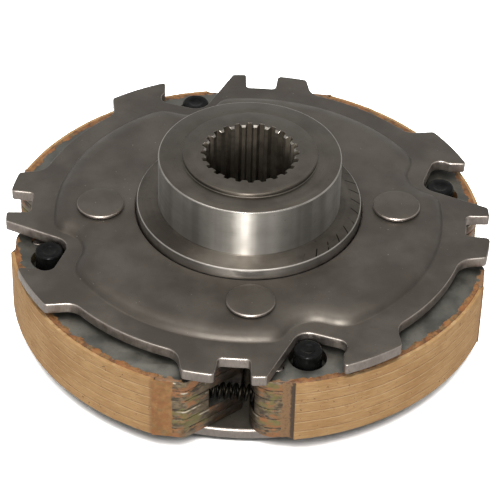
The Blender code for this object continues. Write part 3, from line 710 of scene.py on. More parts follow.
def black_oxide():
    look = Look("black_oxide", Metallic=0.0, Specular_IOR_Level=0.05)
    cloud = look.noise(2.5, 71)
    look.base(cloud.ramp(0.35, 0.7), (0.0035, 0.0038, 0.0035), (0.0095, 0.0098, 0.0092))
    look.bump(look.noise(0.7, 73, 2), 0.01, 0.5)
    return look.done(cloud.ramp(0.3, 0.7, 0.16, 0.26))


# Near black: painted shade of the dark gap between the shoes where the springs lie
def spring_wire():
    look = Look("spring_wire", Metallic=1.0)
    look.base(look.noise(1.5, 81).ramp(0.35, 0.7), (0.003, 0.0025, 0.002), (0.014, 0.012, 0.009))
    return look.done(0.5)


def adhesive(name, dark, light, raised=False):
    """Brown adhesive squeezed out and set hard, darker where it is raised."""
    look = Look(name, Metallic=0.0, Specular_IOR_Level=0.25)
    cloud = look.noise(1.8, 91, 4)
    if raised:
        ragged = look.radius + cloud.ramp(0.3, 0.7, -0.20, 0.20)
        look.base(ragged.ramp(65.95, 66.30), light, dark)
        look.paint(tuple(1.6 * c for c in dark), look.noise(0.6, 93), 0.45, 0.70, 0.6)
    else:
        look.base(cloud.ramp(0.35, 0.65), dark, light)
        blotch = look.noise(2.2, 95, 4, 0.65)
        look.paint((0.230, 0.080, 0.022), blotch, 0.52, 0.60, 0.6)
        look.paint((0.130, 0.110, 0.045), blotch, 0.44, 0.36, 0.5)
    look.bump(cloud, 0.08, 0.7)
    return look.done(0.55)


PLATE_FACE = pressed_steel("plate_face", (0.049, 0.041, 0.033), (0.077, 0.067, 0.055), 1)
PLATE_EDGE = sheared_steel("plate_edge", (0.235, 0.205, 0.182), (0.145, 0.122, 0.104), 13)
# A lighter copy of the cut edge on the rolled top edge of the rim: a painted highlight
PLATE_EDGE_HIGHLIGHT = sheared_steel("plate_edge_highlight", (0.27, 0.24, 0.215), (0.15, 0.13, 0.11), 15)
BACK_FACE = pressed_steel("back_plate_face", (0.092, 0.081, 0.064), (0.140, 0.124, 0.098), 5)
BACK_EDGE = sheared_steel("back_plate_edge", (0.225, 0.198, 0.178), (0.140, 0.122, 0.106), 17)
# The spacer sleeves stand in the shade under the front plate: their near black is painted shade
SLEEVE_SHADED = sheared_steel("sleeve_painted_shade", (0.030, 0.026, 0.020), (0.016, 0.013, 0.010), 17)
SHOE_FACE = lamination_face()
SHOE_EDGE = lamination_edge()
LINING = friction_paper()
# The hub wall carries the painted reflection bands
HUB_WALL = turned_steel("hub_wall", (0.150, 0.139, 0.122), (0.185, 0.173, 0.155), 0.45, 31,
                        anisotropic=0.97, reflection_bands=0.45)
HUB_FACE = turned_steel("hub_face", (0.064, 0.056, 0.046), (0.086, 0.076, 0.063), 0.38, 35)
HUB_COLLAR = turned_steel("hub_collar", (0.070, 0.060, 0.049), (0.105, 0.092, 0.076), 0.46, 33,
                          anisotropic=0.9, ticks=True)
# The hub's chamfers and sides and the flange's edges, a lighter copy of the turned steel: painted
# highlight
HUB_EDGE_HIGHLIGHT = turned_steel("hub_edge_highlight", (0.20, 0.185, 0.165), (0.28, 0.26, 0.235), 0.30, 39)
SPLINE = turned_steel("hub_spline", (0.060, 0.050, 0.038), (0.105, 0.090, 0.070), 0.55, 42)
# The chamfers at the spline's tooth tips are painted lighter for their glints
SPLINE_TIP_GLINT = turned_steel("hub_spline_tip_glint", (0.17, 0.155, 0.135), (0.24, 0.22, 0.195), 0.30, 44)
RIVET_FACE = pressed_steel("rivet_face", (0.054, 0.046, 0.037), (0.080, 0.070, 0.057), 45)
BLACK = black_oxide()
WIRE_SHADED = spring_wire()
GLUE = adhesive("adhesive", (0.090, 0.040, 0.016), (0.250, 0.115, 0.038))
SMEAR = adhesive("adhesive_smear", (0.200, 0.088, 0.024), (0.275, 0.136, 0.042))
BEAD = adhesive("adhesive_bead", (0.050, 0.030, 0.016), (0.215, 0.118, 0.050), True)


PIN_AT = polar(PIN_CIRCLE, PIN_FROM_RIVET)


def on_shoe(station):
    """From a shoe drawn closed at the first station to its place, swung out about its pin."""
    pin = Matrix.Translation((*PIN_AT, 0))
    swing = Matrix.Rotation(-REST_SWING, 4, "Z")
    return Matrix.Rotation(station * STEP, 4, "Z") @ pin @ swing @ pin.inverted()


def place(thing, body, slot, node=None, station=0, at=(0, 0)):
    """Puts a piece made at the first station where it goes, on its body."""
    on_carrier = Matrix.Rotation(station * STEP, 4, "Z")
    matrix = on_shoe(station) if body.startswith("shoe") else on_carrier
    thing.matrix_world = matrix @ Matrix.Translation((*at, 0))
    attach(thing, body)
    if node:
        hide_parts(node)


def copies(mesh, name, body, slot, node, at=(0, 0)):
    """One piece at every station. The name, body and node hold the station's number, from 1."""
    mesh.name = name.format(1)
    for i in range(STATIONS):
        names = [text.format(i + 1) for text in (name, body, node)]
        place(linked(names[0], mesh), names[1], slot, names[2], i, at)


def pin_line(heading, gap):
    """A line that passes the pin of the first station at its radius plus a gap, on the left."""
    along = PIN_FROM_RIVET + heading
    return Line(PIN_AT + polar(PIN_RADIUS + gap, along + 90 * DEG), along)


def rim_edges():
    wide_tab = WIDE_TAB_END + 180 * DEG - WIDE_TAB_LEAN
    return repeated([
        (Ring(RIM_RADIUS), RECESS_ROUND),
        (Line(polar(TAB_RADIUS, SMALL_TAB_START), SMALL_TAB_START + SMALL_TAB_LEAN), TAB_ROUND),
        (Ring(TAB_RADIUS), TAB_ROUND),
        (Line(polar(TAB_RADIUS, SMALL_TAB_END), SMALL_TAB_END + 180 * DEG), SLOT_ROUND),
        (Ring(RIM_RADIUS), SLOT_ROUND),
        (Line(polar(TAB_RADIUS, HORN_START), HORN_START), HORN_ROUND),
        (Ring(TAB_RADIUS), HORN_ROUND),
        (pin_line(HORN_FLANK_HEADING, HORN_FLANK_GAP), NOTCH_ROUND),
        (pin_line(POCKET_FLANK_HEADING, POCKET_FLANK_GAP), POCKET_ROUND),
        (pin_line(POCKET_WALL_HEADING, POCKET_WALL_GAP), WALL_ROUND),
        (pin_line(WIDE_TAB_FLANK_HEADING, WIDE_TAB_FLANK_GAP), HORN_ROUND),
        (Ring(TAB_RADIUS), TAB_ROUND),
        (Line(polar(TAB_RADIUS, WIDE_TAB_END), wide_tab), RECESS_ROUND),
    ])


def crown_edges():
    return repeated([
        (Ring(CROWN_RADIUS), CROWN_HORN_ROUND),
        (pin_line(HORN_FLANK_HEADING, CROWN_HORN_SIDE_GAP), CROWN_SCALLOP_ROUND),
        (pin_line(POCKET_FLANK_HEADING, CROWN_POCKET_SIDE_GAP), CROWN_POCKET_ROUND),
    ])


def rivet_centres():
    return [polar(RIVET_CIRCLE, i * STEP) for i in range(STATIONS)]


def make_front_plate():
    """One pressed plate: a notched rim with rolled cut edges and a raised centre with a soft
    shoulder. The underside follows at the plate's thickness."""
    solid = Solid()

    def rolled(edges, section, finishes=0):
        return solid.walls([solid.loop(outline(edges, inset * MM), PLATE_TOP + height * MM)
                            for inset, height in section], finishes)

    # Finish 2, on the upper steps of the rolled edge, is the painted highlight
    rim = rolled(rim_edges(), [
        (0.22, -3.3), (0.05, -3.16), (0, -3.0), (0.03, -2.2), (0, -1.4), (0, -0.5), (0.04, -0.27),
        (0.16, -0.11), (0.34, -0.03), (0.55, 0)], [1] * 5 + [2] * 2 + [0] * 2)
    rise = rolled(crown_edges(), [
        (-0.55, 0), (-0.25, 0.04), (-0.05, 0.17), (0.15, 0.45), (0.35, 0.75), (0.6, 1.06),
        (0.9, 1.36), (1.25, 1.62), (1.65, 1.83), (2.15, 2.02), (2.7, 2.17), (3.3, 2.30),
        (4.0, 2.41), (4.6, 2.47), (5.2, 2.5)])
    under = rolled(crown_edges(), [
        (4.2, -0.8), (3.6, -0.95), (3.2, -1.5), (2.9, -2.7), (2.5, -3.2), (2.2, -3.3)])
    bevel = 0.3 * MM
    bores = []
    for centre, radius, steps in [((0, 0), COLLAR_RADIUS + COLLAR_TO_PLATE, TURNED_STEPS)] + [
            (at, RIVET_RADIUS + CLEARANCE, HOLE_STEPS) for at in rivet_centres()]:
        section = [(radius + bevel, CROWN_TOP), (radius, CROWN_TOP - bevel), (radius, CROWN_BELOW)]
        bores.append(solid.rounds(section, centre, steps, 1))
    solid.caps(rim[0], rim[-1], [(rise[0], under[-1])])
    solid.caps(under[0], rise[-1], bores)
    plate = solid.object("front_plate_pressed", [PLATE_FACE, PLATE_EDGE, PLATE_EDGE_HIGHLIGHT])
    place(plate, "carrier", "plate_steel", "front_plate")


def rounded_edge(radius, top, rounding):
    """Up a round edge to a flat top, as (radius, height) points."""
    return [(radius - rounding * (1 - math.cos(15 * DEG * i)),
             top - rounding * (1 - math.sin(15 * DEG * i))) for i in range(7)]


def spread_foot(radius):
    """Up the outer side of a shank whose lower end is spread into a countersink."""
    return [(0, CLEARANCE), (radius + FOOT_SPREAD, CLEARANCE), (radius, FOOT_SPREAD + CLEARANCE)]


def make_back_plate():
    solid = Solid()
    bevel = 0.25 * MM
    outer = [(BACK_RADIUS - bevel, 0), (BACK_RADIUS, bevel), (BACK_RADIUS, 1.6 * MM)]
    outer += rounded_edge(BACK_RADIUS, BACK_THICKNESS, BACK_EDGE_ROUND)
    rim = solid.rounds(outer, finishes=[1] * 7 + [0] * 2)
    holes = [((0, 0), PILOT_RADIUS, TURNED_STEPS, 0)]
    for i in range(STATIONS):
        holes.append((polar(RIVET_CIRCLE, i * STEP), RIVET_RADIUS, FOOT_STEPS, FOOT_SPREAD))
        holes.append((turned(PIN_AT, i * STEP), PIN_TENON_RADIUS, FOOT_STEPS, FOOT_SPREAD))
    bores = []
    for centre, radius, steps, spread in holes:
        hole, waist = radius + CLEARANCE, FOOT_SPREAD + 1.5 * CLEARANCE
        section = [(hole, BACK_THICKNESS), (hole, waist), (hole + spread, 0)]
        bores.append(solid.rounds(section, centre, steps, 1))
    solid.caps(rim[0], rim[-1], bores)
    plate = solid.object("back_plate_disc", [BACK_FACE, BACK_EDGE])
    place(plate, "carrier", "plate_steel", "back_plate")


def spline_points():
    """The internal spline, with straight flanks, root and tip lands: eight points to each tooth."""
    pitch = 360 * DEG / SPLINE_TEETH
    root, tip = SPLINE_ROOT_SHARE * pitch / 2, SPLINE_TIP_SHARE * pitch / 2
    points = []
    for i in range(SPLINE_TEETH):
        middle = i * pitch
        beside = middle + pitch / 2
        roots = [polar(SPLINE_MAJOR, middle + root * share) for share in (-1, 0, 1)]
        tips = [polar(SPLINE_MINOR, beside + tip * share) for share in (-1, 0, 1)]
        next_root = polar(SPLINE_MAJOR, middle + pitch - root)
        points += [*roots, roots[2].lerp(tips[0], 0.5), *tips, tips[2].lerp(next_root, 0.5)]
    return points


def make_hub():
    """The turned hub with its boss, polished wall, collar, barrel and pilot, and the spline."""
    teeth = spline_points()
    angles = [angle_of(p) for p in teeth]
    neck, seat = (EAR_TOP + EAR_BOTTOM) / 2, BACK_THICKNESS + CLEARANCE
    # Up the outside: where each corner is, and its points in millimetres from there, with the
    # finish of the band above each
    corners = [
        (PILOT_RADIUS, PILOT_END, [(-0.5, 0, 2), (0, 0.5, 2)]),
        (PILOT_RADIUS, seat, [(0, 0, 0)]),
        (BARREL_RADIUS, seat, [(0, 0, 2)]),
        (BARREL_RADIUS, neck, [(0, 0, 0)]),
        (COLLAR_RADIUS, neck, [(0, 0, 2)]),
        (COLLAR_RADIUS, COLLAR_TOP,
         [(0, -0.6, 2), (-0.1, -0.27, 2), (-0.35, -0.07, 3), (-0.7, 0, 3)]),
        (HUB_RADIUS, COLLAR_TOP, [(0.45, 0, 3), (0.13, 0.13, 3), (0, 0.45, 1), (0, 3, 1)]),
        (HUB_RADIUS, HUB_TOP, [(0, -0.36, 2), (-0.11, -0.11, 2), (-0.36, 0, 0)]),
        (BOSS_RADIUS, HUB_TOP, [(0.2, 0, 0), (0, 0.2, 0)]),
        (BOSS_RADIUS, BOSS_TOP, [(0, -0.3, 3), (-0.09, -0.09, 3), (-0.3, 0, 0)]),
    ]
    solid = Solid()
    loops = [solid.loop([polar(radius + out * MM, a) for a in angles], height + up * MM)
             for radius, height, points in corners for out, up, _ in points]
    finishes = [finish for _, _, points in corners for _, _, finish in points]
    mouth = SPLINE_MINOR + SPLINE_CHAMFER
    burr = 0.04 * MM
    spread = [polar(max(p.length + burr, mouth), a) for p, a in zip(teeth, angles)]
    drops = [max(burr, mouth - p.length) for p in teeth]
    loops += [solid.loop(spread, BOSS_TOP), solid.loop(teeth, [BOSS_TOP - drop for drop in drops]),
              solid.loop(teeth, (BOSS_TOP + PILOT_END) / 2),
              solid.loop(teeth, [PILOT_END + drop for drop in drops]),
              solid.loop(spread, PILOT_END)]
    solid.walls(loops + loops[:1], finishes[:-1] + [0, 5, 4, 4, 4, 0])
    looks = [HUB_FACE, HUB_WALL, HUB_EDGE_HIGHLIGHT, HUB_COLLAR, SPLINE, SPLINE_TIP_GLINT]
    place(solid.object("hub_turned", looks, 25 * DEG), "carrier", "hub_steel", "hub")


def make_flange():
    """The hub's disc under the front plate, with an ear round each carrier rivet."""
    rounding = EAR_HALF_WIDTH - EAR_END_FLAT / 2
    edges = repeated([
        (Ring(HUB_DISC_RADIUS), EAR_CORNER),
        (Line((RIVET_CIRCLE, -EAR_HALF_WIDTH), EAR_TAPER), rounding),
        (Line((RIVET_CIRCLE + EAR_HALF_WIDTH, 0), 90 * DEG), rounding),
        (Line((RIVET_CIRCLE, EAR_HALF_WIDTH), 180 * DEG - EAR_TAPER), EAR_CORNER),
    ])
    holes = [circle(COLLAR_RADIUS, steps=TURNED_STEPS)]
    holes += [circle(RIVET_RADIUS + CLEARANCE, at) for at in rivet_centres()]
    flange = sheet(edges, holes, EAR_BOTTOM, EAR_TOP).object("hub_flange", [HUB_FACE, HUB_EDGE_HIGHLIGHT])
    place(flange, "carrier", "hub_steel")


def make_rivets():
    seat = CROWN_TOP + CLEARANCE
    top = seat + RIVET_HEAD_HEIGHT
    edge = RIVET_HEAD_RADIUS
    head = [(RIVET_RADIUS, seat), (edge - 0.1 * MM, seat), (edge, seat + 0.1 * MM),
            (edge, top - 0.4 * MM), (edge - 0.2 * MM, top - 0.12 * MM),
            (edge - 0.55 * MM, top - 0.03 * MM), (edge - 1.6 * MM, top), (0, top)]
    rivet = lathe(spread_foot(RIVET_RADIUS) + head, 96, [1] * 7 + [0] * 3)
    at = polar(RIVET_CIRCLE, 0)
    copies(rivet.mesh([RIVET_FACE, PLATE_EDGE], 25 * DEG),
           "carrier_rivet_head_{}", "carrier", "rivet_steel", "carrier_rivet_{}", at)
    bore = RIVET_RADIUS + CLEARANCE
    low, high = BACK_THICKNESS + CLEARANCE, EAR_BOTTOM - CLEARANCE
    wall = [(bore, low), *bevelled(SPACER_RADIUS, low, high, 0.3 * MM), (bore, high)]
    copies(lathe(wall, 64).mesh([SLEEVE_SHADED], 25 * DEG),
           "spacer_sleeve_{}", "carrier", "spacer_steel", "spacer_{}", at)


def make_pins():
    profile = spread_foot(PIN_TENON_RADIUS)
    profile += [(radius, BACK_THICKNESS + CLEARANCE) for radius in (PIN_TENON_RADIUS, PIN_RADIUS)]
    profile += rounded_edge(PIN_RADIUS, PIN_TOP, PIN_EDGE_ROUND)
    dish = [(2.3, 0), (2.0, -0.03), (1.6, -0.2), (1.3, -0.28), (0, -0.28)]
    profile += [(radius * MM, PIN_TOP + depth * MM) for radius, depth in dish]
    copies(lathe(profile, 64).mesh([BLACK], 35 * DEG),
           "pivot_pin_black_{}", "carrier", "pin_steel", "pivot_pin_{}", PIN_AT)


def from_pin(radius, angle):
    """A point of the first shoe, by radius and by angle from its pin, about the shaft."""
    return polar(radius, angle + PIN_FROM_RIVET)


LOBE_RIVET_AT = from_pin(LOBE_RIVET_CIRCLE, LOBE_ANGLE)
TIP_RIVET_AT = from_pin(TIP_RIVET_CIRCLE, TIP_RIVET_ANGLE)
TIP_STEP_AT = from_pin(TIP_OUTER, TIP_STEP_ANGLE)
TIP_STEP_HEADING = PIN_FROM_RIVET + TIP_STEP_ANGLE + 90 * DEG + TIP_LEAN


def shoe_edges():
    heading = PIN_FROM_RIVET
    lobe = from_pin(LOBE_CIRCLE, LOBE_ANGLE)
    lobe_end = lobe + polar(LOBE_RADIUS, heading + LOBE_ANGLE - 90 * DEG)
    rounding = LOBE_RADIUS - LOBE_END_FLAT / 2
    return [
        (Ring(SHOE_OUTER), TIP_STEP_ROUND),
        (Line(TIP_STEP_AT, heading + TIP_STEP_ANGLE), TIP_STEP_ROUND),
        (Line(TIP_STEP_AT, TIP_STEP_HEADING), TIP_OUTER_ROUND),
        (Line(from_pin(SHOE_OUTER, TIP_ANGLE), heading + TIP_FACE_HEADING), TIP_INNER_ROUND),
        (Ring(SHOE_INNER, -1), TIP_INNER_ROUND),
        (Line(from_pin(SHOE_INNER, SHOE_NECK_ANGLE), heading + SHOE_NECK_HEADING), TIP_INNER_ROUND),
        (Ring(SHOE_NECK_INNER, -1), rounding),
        (Line(lobe_end, heading + LOBE_ANGLE), rounding),
    ]


def spring_ends():
    """The shoe's tip rivet and the next shoe's lobe rivet, before the shoe swings out."""
    next_lobe = turned(PIN_AT + turned(LOBE_RIVET_AT - PIN_AT, -REST_SWING), STEP)
    return TIP_RIVET_AT, PIN_AT + turned(next_lobe - PIN_AT, REST_SWING)


def hook_slots():
    """The two slots of a lamination, each from a rivet outwards along the spring hooked on it."""
    tip, next_lobe = spring_ends()
    reach = (next_lobe - tip).normalized() * 4 * LOBE_RADIUS
    return [(tip, tip + reach), (LOBE_RIVET_AT, LOBE_RIVET_AT + turned(-reach, -STEP))]


def stadium(a, b, radius):
    """A slot's outline with round ends about points a and b."""
    along = angle_of(b - a)
    return [end + polar(radius, along + first + 15 * DEG * i)
            for end, first in ((b, -90 * DEG), (a, 90 * DEG)) for i in range(13)]


def prism(points, low, high):
    solid = Solid()
    lower, upper = solid.walls([solid.loop(points, low), solid.loop(points, high)], 1)
    solid.cap(upper, finish=1)
    solid.cap(lower, up=False, finish=1)
    return solid


def cut_mesh(solid, tools, looks):
    """The mesh of a solid with the tools taken out of it."""
    body = solid.object("body", looks)
    cutters = [tool.object("tool", looks) for tool in tools]
    for cutter in cutters:
        step = body.modifiers.new("cut", "BOOLEAN")
        step.operation = "DIFFERENCE"
        step.object = cutter
        step.solver = "EXACT"
    mesh = baked(body, 40 * DEG)
    for cutter in cutters:
        bpy.data.objects.remove(cutter, do_unlink=True)
    return mesh


def make_shoes():
    """Six laminations to a shoe, pressed together so that only a hair line parts them."""
    looks = [SHOE_FACE, SHOE_EDGE]
    for level in range(1, LAMINATIONS + 1):
        low = SHOE_BOTTOM + (level - 1) * LAMINATION_PITCH
        high = low + LAMINATION_THICKNESS
        low -= PRESSED if level > 1 else 0
        high += PRESSED if level < LAMINATIONS else 0
        pin_hole = TOP_HOLE_RADIUS if level == LAMINATIONS else PIN_RADIUS + CLEARANCE
        holes = [circle(pin_hole, PIN_AT)]
        if level in SLOTTED:
            tools = [prism(stadium(*ends, SLOT_HALF_WIDTH), low - MM, high + MM)
                     for ends in hook_slots()]
            mesh = cut_mesh(sheet(shoe_edges(), holes, low, high, SHOE_EDGE_ROUND), tools, looks)
        else:
            holes += [circle(SHOE_RIVET_RADIUS + CLEARANCE, at, 24)
                      for at in (LOBE_RIVET_AT, TIP_RIVET_AT)]
            mesh = sheet(shoe_edges(), holes, low, high, SHOE_EDGE_ROUND).mesh(looks)
        copies(mesh, f"shoe_{{}}_lamination_{level}", "shoe_{}", "lamination_steel",
               f"shoe_{{}}_plate_{level}")
    low, high = SHOE_BOTTOM + SHOE_RIVET_RECESS, SHOE_TOP - SHOE_RIVET_RECESS
    profile = [(0, low), *bevelled(SHOE_RIVET_RADIUS, low, high, 0.25 * MM), (0, high)]
    for kind, at in (("lobe", LOBE_RIVET_AT), ("tip", TIP_RIVET_AT)):
        copies(lathe(profile, 32).mesh([PLATE_EDGE], 25 * DEG), f"shoe_{{}}_{kind}_rivet_head",
               "shoe_{}", "shoe_rivet_steel", f"shoe_{{}}_{kind}_rivet", at)


def uneven(x, y, seed):
    return noise.noise(Vector((x, y, seed * 7.3)))


def line_sections(seed):
    """The adhesive along the top edge of a shoe and over its lining."""
    start, end = LINING_START - 2.2 * DEG, TIP_STEP_ANGLE + 2.5 * DEG
    foot = SHOE_BOTTOM - SHOE_TOP + 0.5 * MM
    sections = []
    for i in range(GLUE_STEPS + 1):
        angle = start + (end - start) * i / GLUE_STEPS
        along = i * 0.45
        width = 0.9 + 1.1 * uneven(along * 0.35, 0, seed) + 0.7 * uneven(along * 1.3, 5, seed)
        width = max(0.15, width) * MM * min(1.0, i / 6, (GLUE_STEPS - i) / 6)
        over = (0.22 + 0.12 * uneven(along, 9, seed)) * MM
        edge = LINING_INNER if LINING_START < angle < LINING_END else SHOE_OUTER
        crest = (0.05 + 0.03 * uneven(along * 0.8, 3, seed)) * MM
        section = [(SHOE_OUTER - width, -0.02 * MM), (SHOE_OUTER - 0.4 * MM, -0.3 * MM),
                   (SHOE_OUTER + 0.02 * MM, foot), (edge - 0.02 * MM, foot),
                   (edge - 0.02 * MM, -0.45 * MM), (edge + over, -0.25 * MM),
                   (edge + over * 0.9, -0.08 * MM), (edge - 0.1 * MM, crest),
                   (SHOE_OUTER - width * 0.5, crest), (SHOE_OUTER - width * 0.9, 0.03 * MM)]
        sections.append([(*from_pin(radius, angle), SHOE_TOP + up) for radius, up in section])
    return sections


def smear_at(row, share, seed):
    """The front and back of the smear on the free end, at a share of its reach in one row."""
    reach = (4.9 + 0.7 * uneven(row * 0.22, 1, seed) + 0.3 * uneven(row * 0.9, 2, seed)) * MM
    share **= 1.3
    far = -0.55 * MM + (reach + 0.55 * MM) * share
    rise = 0.20 * math.exp(-(far / MM / 0.45) ** 2) + 0.10 * (1 - share ** 3)
    rise += 0.03 * uneven(far / MM * 1.3, row * 0.3, seed) * (1 - share)
    at = TIP_STEP_AT + polar(far, TIP_STEP_HEADING)
    out = polar(1, TIP_STEP_HEADING - 90 * DEG)
    return at + out * rise * MM, at - out * 0.25 * MM


def bead_at(row, share, seed):
    """The front and back of the bead at the lobe, at a share of its reach in one row."""
    reach = (3.4 + 0.8 * uneven(row * 0.25, 4, seed) + 0.3 * uneven(row * 0.9, 6, seed)) * MM
    share = 1 - share
    far = reach * share
    angle = LINING_START + (0.12 * MM - far) / SHOE_OUTER
    rise = 1.15 * max(0.0, 1 - far / (1.7 * MM)) ** 1.5 + 0.12 * (1 - share ** 3)
    rise += 0.08 * uneven(far / MM * 1.5, row * 0.35, seed + 9) * (1 - share)
    return from_pin(SHOE_OUTER + rise * MM, angle), from_pin(SHOE_OUTER - 0.25 * MM, angle)


def patch_sections(point_at, columns, seed):
    """Level sections of a patch of adhesive, from the top down."""
    sections = []
    low, high = SHOE_BOTTOM + 0.15 * MM, SHOE_TOP - 0.1 * MM
    for row in range(GLUE_ROWS, -1, -1):
        height = low + (high - low) * row / GLUE_ROWS
        pairs = [point_at(row, i / columns, seed) for i in range(columns + 1)]
        flat = [front for front, _ in pairs] + [back for _, back in pairs[::-1]]
        sections.append([(*point, height) for point in flat])
    return sections


def make_adhesive():
    """The adhesive that bonds each lining: pressed out over the shoe's top edge, in a thin smear on
    the free end and in a bead at the lobe."""
    for i in range(STATIONS):
        seed = i + 1
        for name, look, sections in (
                ("line", GLUE, line_sections(seed)),
                ("smear", SMEAR, patch_sections(smear_at, 16, seed)),
                ("bead", BEAD, patch_sections(bead_at, 14, seed))):
            run = bar(sections).object(f"adhesive_{name}_{seed}", [look], 60 * DEG)
            place(run, f"shoe_{seed}", "friction_lining", station=i)


def lining_end(loop):
    """The triangles of a lining's end, which fan out from its two inner corners."""
    *outer, inner_high, inner_low = loop
    middle = len(outer) // 2
    fan = [(inner_high, outer[middle], inner_low)]
    for k in range(len(outer) - 1):
        fan.append((outer[k + 1], outer[k], inner_low if k < middle else inner_high))
    return fan


def make_linings():
    """Each lining is a strip bent round its shoe, with a shallow crease at every lamination and
    slightly uneven edges."""
    low, high = SHOE_BOTTOM + LINING_STEP, SHOE_TOP - LINING_STEP
    inner = LINING_INNER + 0.02 * MM
    face = [(0, low + (high - low) * i / LINING_ROWS) for i in range(LINING_ROWS + 1)]
    for i in range(1, LAMINATIONS):
        crease = SHOE_BOTTOM + i * LAMINATION_PITCH - CLEARANCE / 2
        face += [(depth, crease + up * MM) for depth, up in
                 ((-0.02, -0.22), (-0.14, -0.05), (-0.05, 0.08), (0, 0.25))]
    face.sort(key=lambda p: p[1])
    for station in range(STATIONS):
        sections = []
        for i in range(LINING_STEPS + 1):
            share = i / LINING_STEPS
            at = Vector((share * 60, station * 17.0, 0))
            top = high + 0.10 * MM * noise.noise(at * 1.3)
            bottom = low + 0.10 * MM * noise.noise(at * 1.1 + Vector((0, 5, 0)))
            section = []
            for depth, height in face:
                z = bottom + (height - low) * (top - bottom) / (high - low)
                wave = 0.05 * MM * noise.noise(Vector((share * 45, z / MM * 0.8, station * 9.0)))
                near = min(z - bottom, top - z)
                soft = 0.16 * MM * max(0.0, 1 - near / (0.35 * MM)) ** 2
                section.append((LINING_OUTER + depth * MM + wave - soft - 0.02 * MM, z))
            section += [(inner, top), (inner, bottom)]
            angle = LINING_START + (LINING_END - LINING_START) * share
            sections.append([(*from_pin(radius, angle), z) for radius, z in section])
        solid = bar(sections, lining_end)
        lining = solid.object(f"lining_strip_{station + 1}", [LINING], 50 * DEG)
        place(lining, f"shoe_{station + 1}", "friction_lining", f"lining_{station + 1}", station)


def spring_path():
    """Hook, coil and hook between the two rivets, at the middle of the stack."""
    tip, lobe = spring_ends()
    along = (lobe - tip).normalized()
    side = Vector((-along.y, along.x))
    span = (lobe - tip).length
    turns = math.floor((span - 2 * (HOOK_RADIUS + HOOK_NECK)) / COIL_PITCH)
    coil = turns * COIL_PITCH

    def at(forward, sideways, up=0):
        return (*(tip + along * forward + side * sideways), SPRING_LEVEL + up)

    def hook(centre, facing):
        bend = [polar(HOOK_RADIUS, HOOK_SWEEP * i / HOOK_STEPS) for i in range(HOOK_STEPS, -1, -1)]
        return [at(centre + facing * p.x, p.y) for p in bend]

    wound = []
    for i in range(turns * COIL_STEPS + 1):
        up, sideways = polar(COIL_RADIUS, 360 * DEG * i / COIL_STEPS)
        wound.append(at((span - coil) / 2 + COIL_PITCH * i / COIL_STEPS, sideways, up))
    return hook(0, 1) + wound + hook(span, -1)[::-1]


def make_springs():
    data = bpy.data.curves.new("spring", "CURVE")
    data.dimensions = "3D"
    data.bevel_depth = WIRE_RADIUS
    data.bevel_resolution = 3
    data.use_fill_caps = True
    points = spring_path()
    spline = data.splines.new("POLY")
    spline.points.add(len(points) - 1)
    for knot, point in zip(spline.points, points):
        knot.co = (*point, 1)
    mesh = baked(linked("spring", data), 50 * DEG)
    mesh.materials.clear()
    mesh.materials.append(WIRE_SHADED)
    for i in range(STATIONS):
        thing = linked(f"return_spring_coil_{i + 1}", mesh.copy())
        thing.matrix_world = on_shoe(i)
        start, end = (on_shoe(i) @ Vector((*point, 0)) for point in spring_ends())
        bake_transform(thing)
        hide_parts(f"return_spring_{i + 1}")


def make_camera():
    """The photograph's viewpoint, fitted to the rim, the hub and the rivets."""
    unit = 0.1021
    elevation = 39.295 * DEG
    turn = -1.75 * DEG
    roll = 1.589 * DEG
    target = Vector((*turned(Vector((0.006737, -0.157034)) * unit, turn), PLATE_TOP))
    back = Vector((*polar(math.cos(elevation), turn - 90 * DEG), math.sin(elevation)))
    side = (-back).cross(Vector((0, 0, 1))).normalized()
    top = side.cross(-back)
    right = side * math.cos(roll) + top * math.sin(roll)
    up = top * math.cos(roll) - side * math.sin(roll)
    data = bpy.data.cameras.new("camera")
    data.sensor_width = 36
    data.lens = 2409.475 / 500 * data.sensor_width
    data.clip_start = 0.01
    data.clip_end = 20
    camera = linked("camera", data)
    camera.matrix_world = Matrix((right, up, back)).transposed().to_4x4()
    camera.matrix_world.translation = target + 6.50349 * unit * back
    bpy.context.scene.camera = camera


def area_light(name, size, power, where, aim, mirrored_only=False):
    """A soft box. Some are seen only as streaks in polished metal and light nothing else."""
    data = bpy.data.lights.new(name, "AREA")
    data.shape = "RECTANGLE"
    data.size, data.size_y = size
    data.energy = power
    light = linked(name, data)
    light.location = where
    light.visible_diffuse = not mirrored_only
    light.rotation_euler = (Vector(aim) - Vector(where)).to_track_quat("-Z", "Y").to_euler()


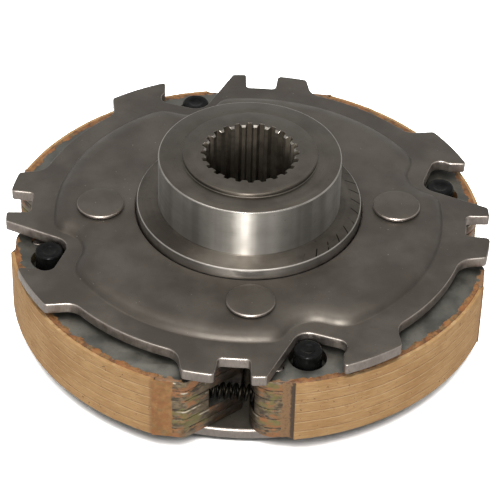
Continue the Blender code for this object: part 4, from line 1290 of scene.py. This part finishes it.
def make_world():
    """An even surround, plain white to the camera, to mirrors and through glass."""
    world = bpy.data.worlds.new("studio")
    tree = Tree(world)
    tree.nodes.clear()
    plain = tree.math("MAXIMUM", tree.ray("Camera"), tree.ray("Glossy"))
    plain = tree.math("MAXIMUM", plain, tree.ray("Transmission"))
    ambient = tree.node("Background", ((1.0, 0.99, 0.97), 0.62))
    white = tree.node("Background", ((1, 1, 1), 1.0))
    tree.node("OutputWorld", (tree.node("MixShader", (plain, ambient, white)),))
    bpy.context.scene.world = world


def make_floor():
    """A white table, with a painted contact shadow where the part stands close above it."""
    half, level = 3.0, -1.2 * MM
    mesh = bpy.data.meshes.new("floor")
    corners = ((-half, -half), (half, -half), (half, half), (-half, half))
    mesh.from_pydata([(*corner, level) for corner in corners], [], [(0, 1, 2, 3)])
    made = bpy.data.materials.new("white_table")
    tree = Tree(made)
    tree.nodes.clear()
    seen = tree.math("MAXIMUM", tree.ray("Camera"), tree.ray("Transmission"))
    painted_contact_shadow = tree.node("AmbientOcclusion", {"Distance": 12 * MM}, "AO").ramp(0.19, 0.45, 0.05, 1.0)
    table = tree.node("BsdfDiffuse", ((seen * 1.7 + 0.92) * painted_contact_shadow,))
    glow = tree.node("Emission")
    mixed = tree.node("MixShader", (tree.ray("Glossy") * 0.72, table, glow))
    tree.node("OutputMaterial", (mixed,))
    mesh.materials.append(made)
    linked("floor", mesh)


def make_lights():
    """A large soft light above and one in front, and two streaks in the hub's polished wall."""
    area_light("top_light", (0.8, 0.6), 6.0, (-0.05, -0.12, 0.85), (0, 0, 0.03))
    area_light("streak_light", (0.09, 0.55), 15.0, (-0.09, -0.86, 0.40), (0, 0, 0.04), True)
    area_light("wide_streak_light", (1.3, 0.40), 8.0, (-0.10, -0.90, 0.42), (0, 0, 0.04), True)
    area_light("front_light", (0.10, 0.5), 2.2, (-0.03, -0.85, 0.42), (0, 0, 0.03))


make_camera()
make_world()
make_lights()
make_floor()
make_front_plate()
make_back_plate()
make_hub()
make_flange()
make_rivets()
make_pins()
make_shoes()
make_linings()
make_adhesive()
make_springs()

bpy.context.scene.view_settings.view_transform = "Standard"
bpy.context.view_layer.update()
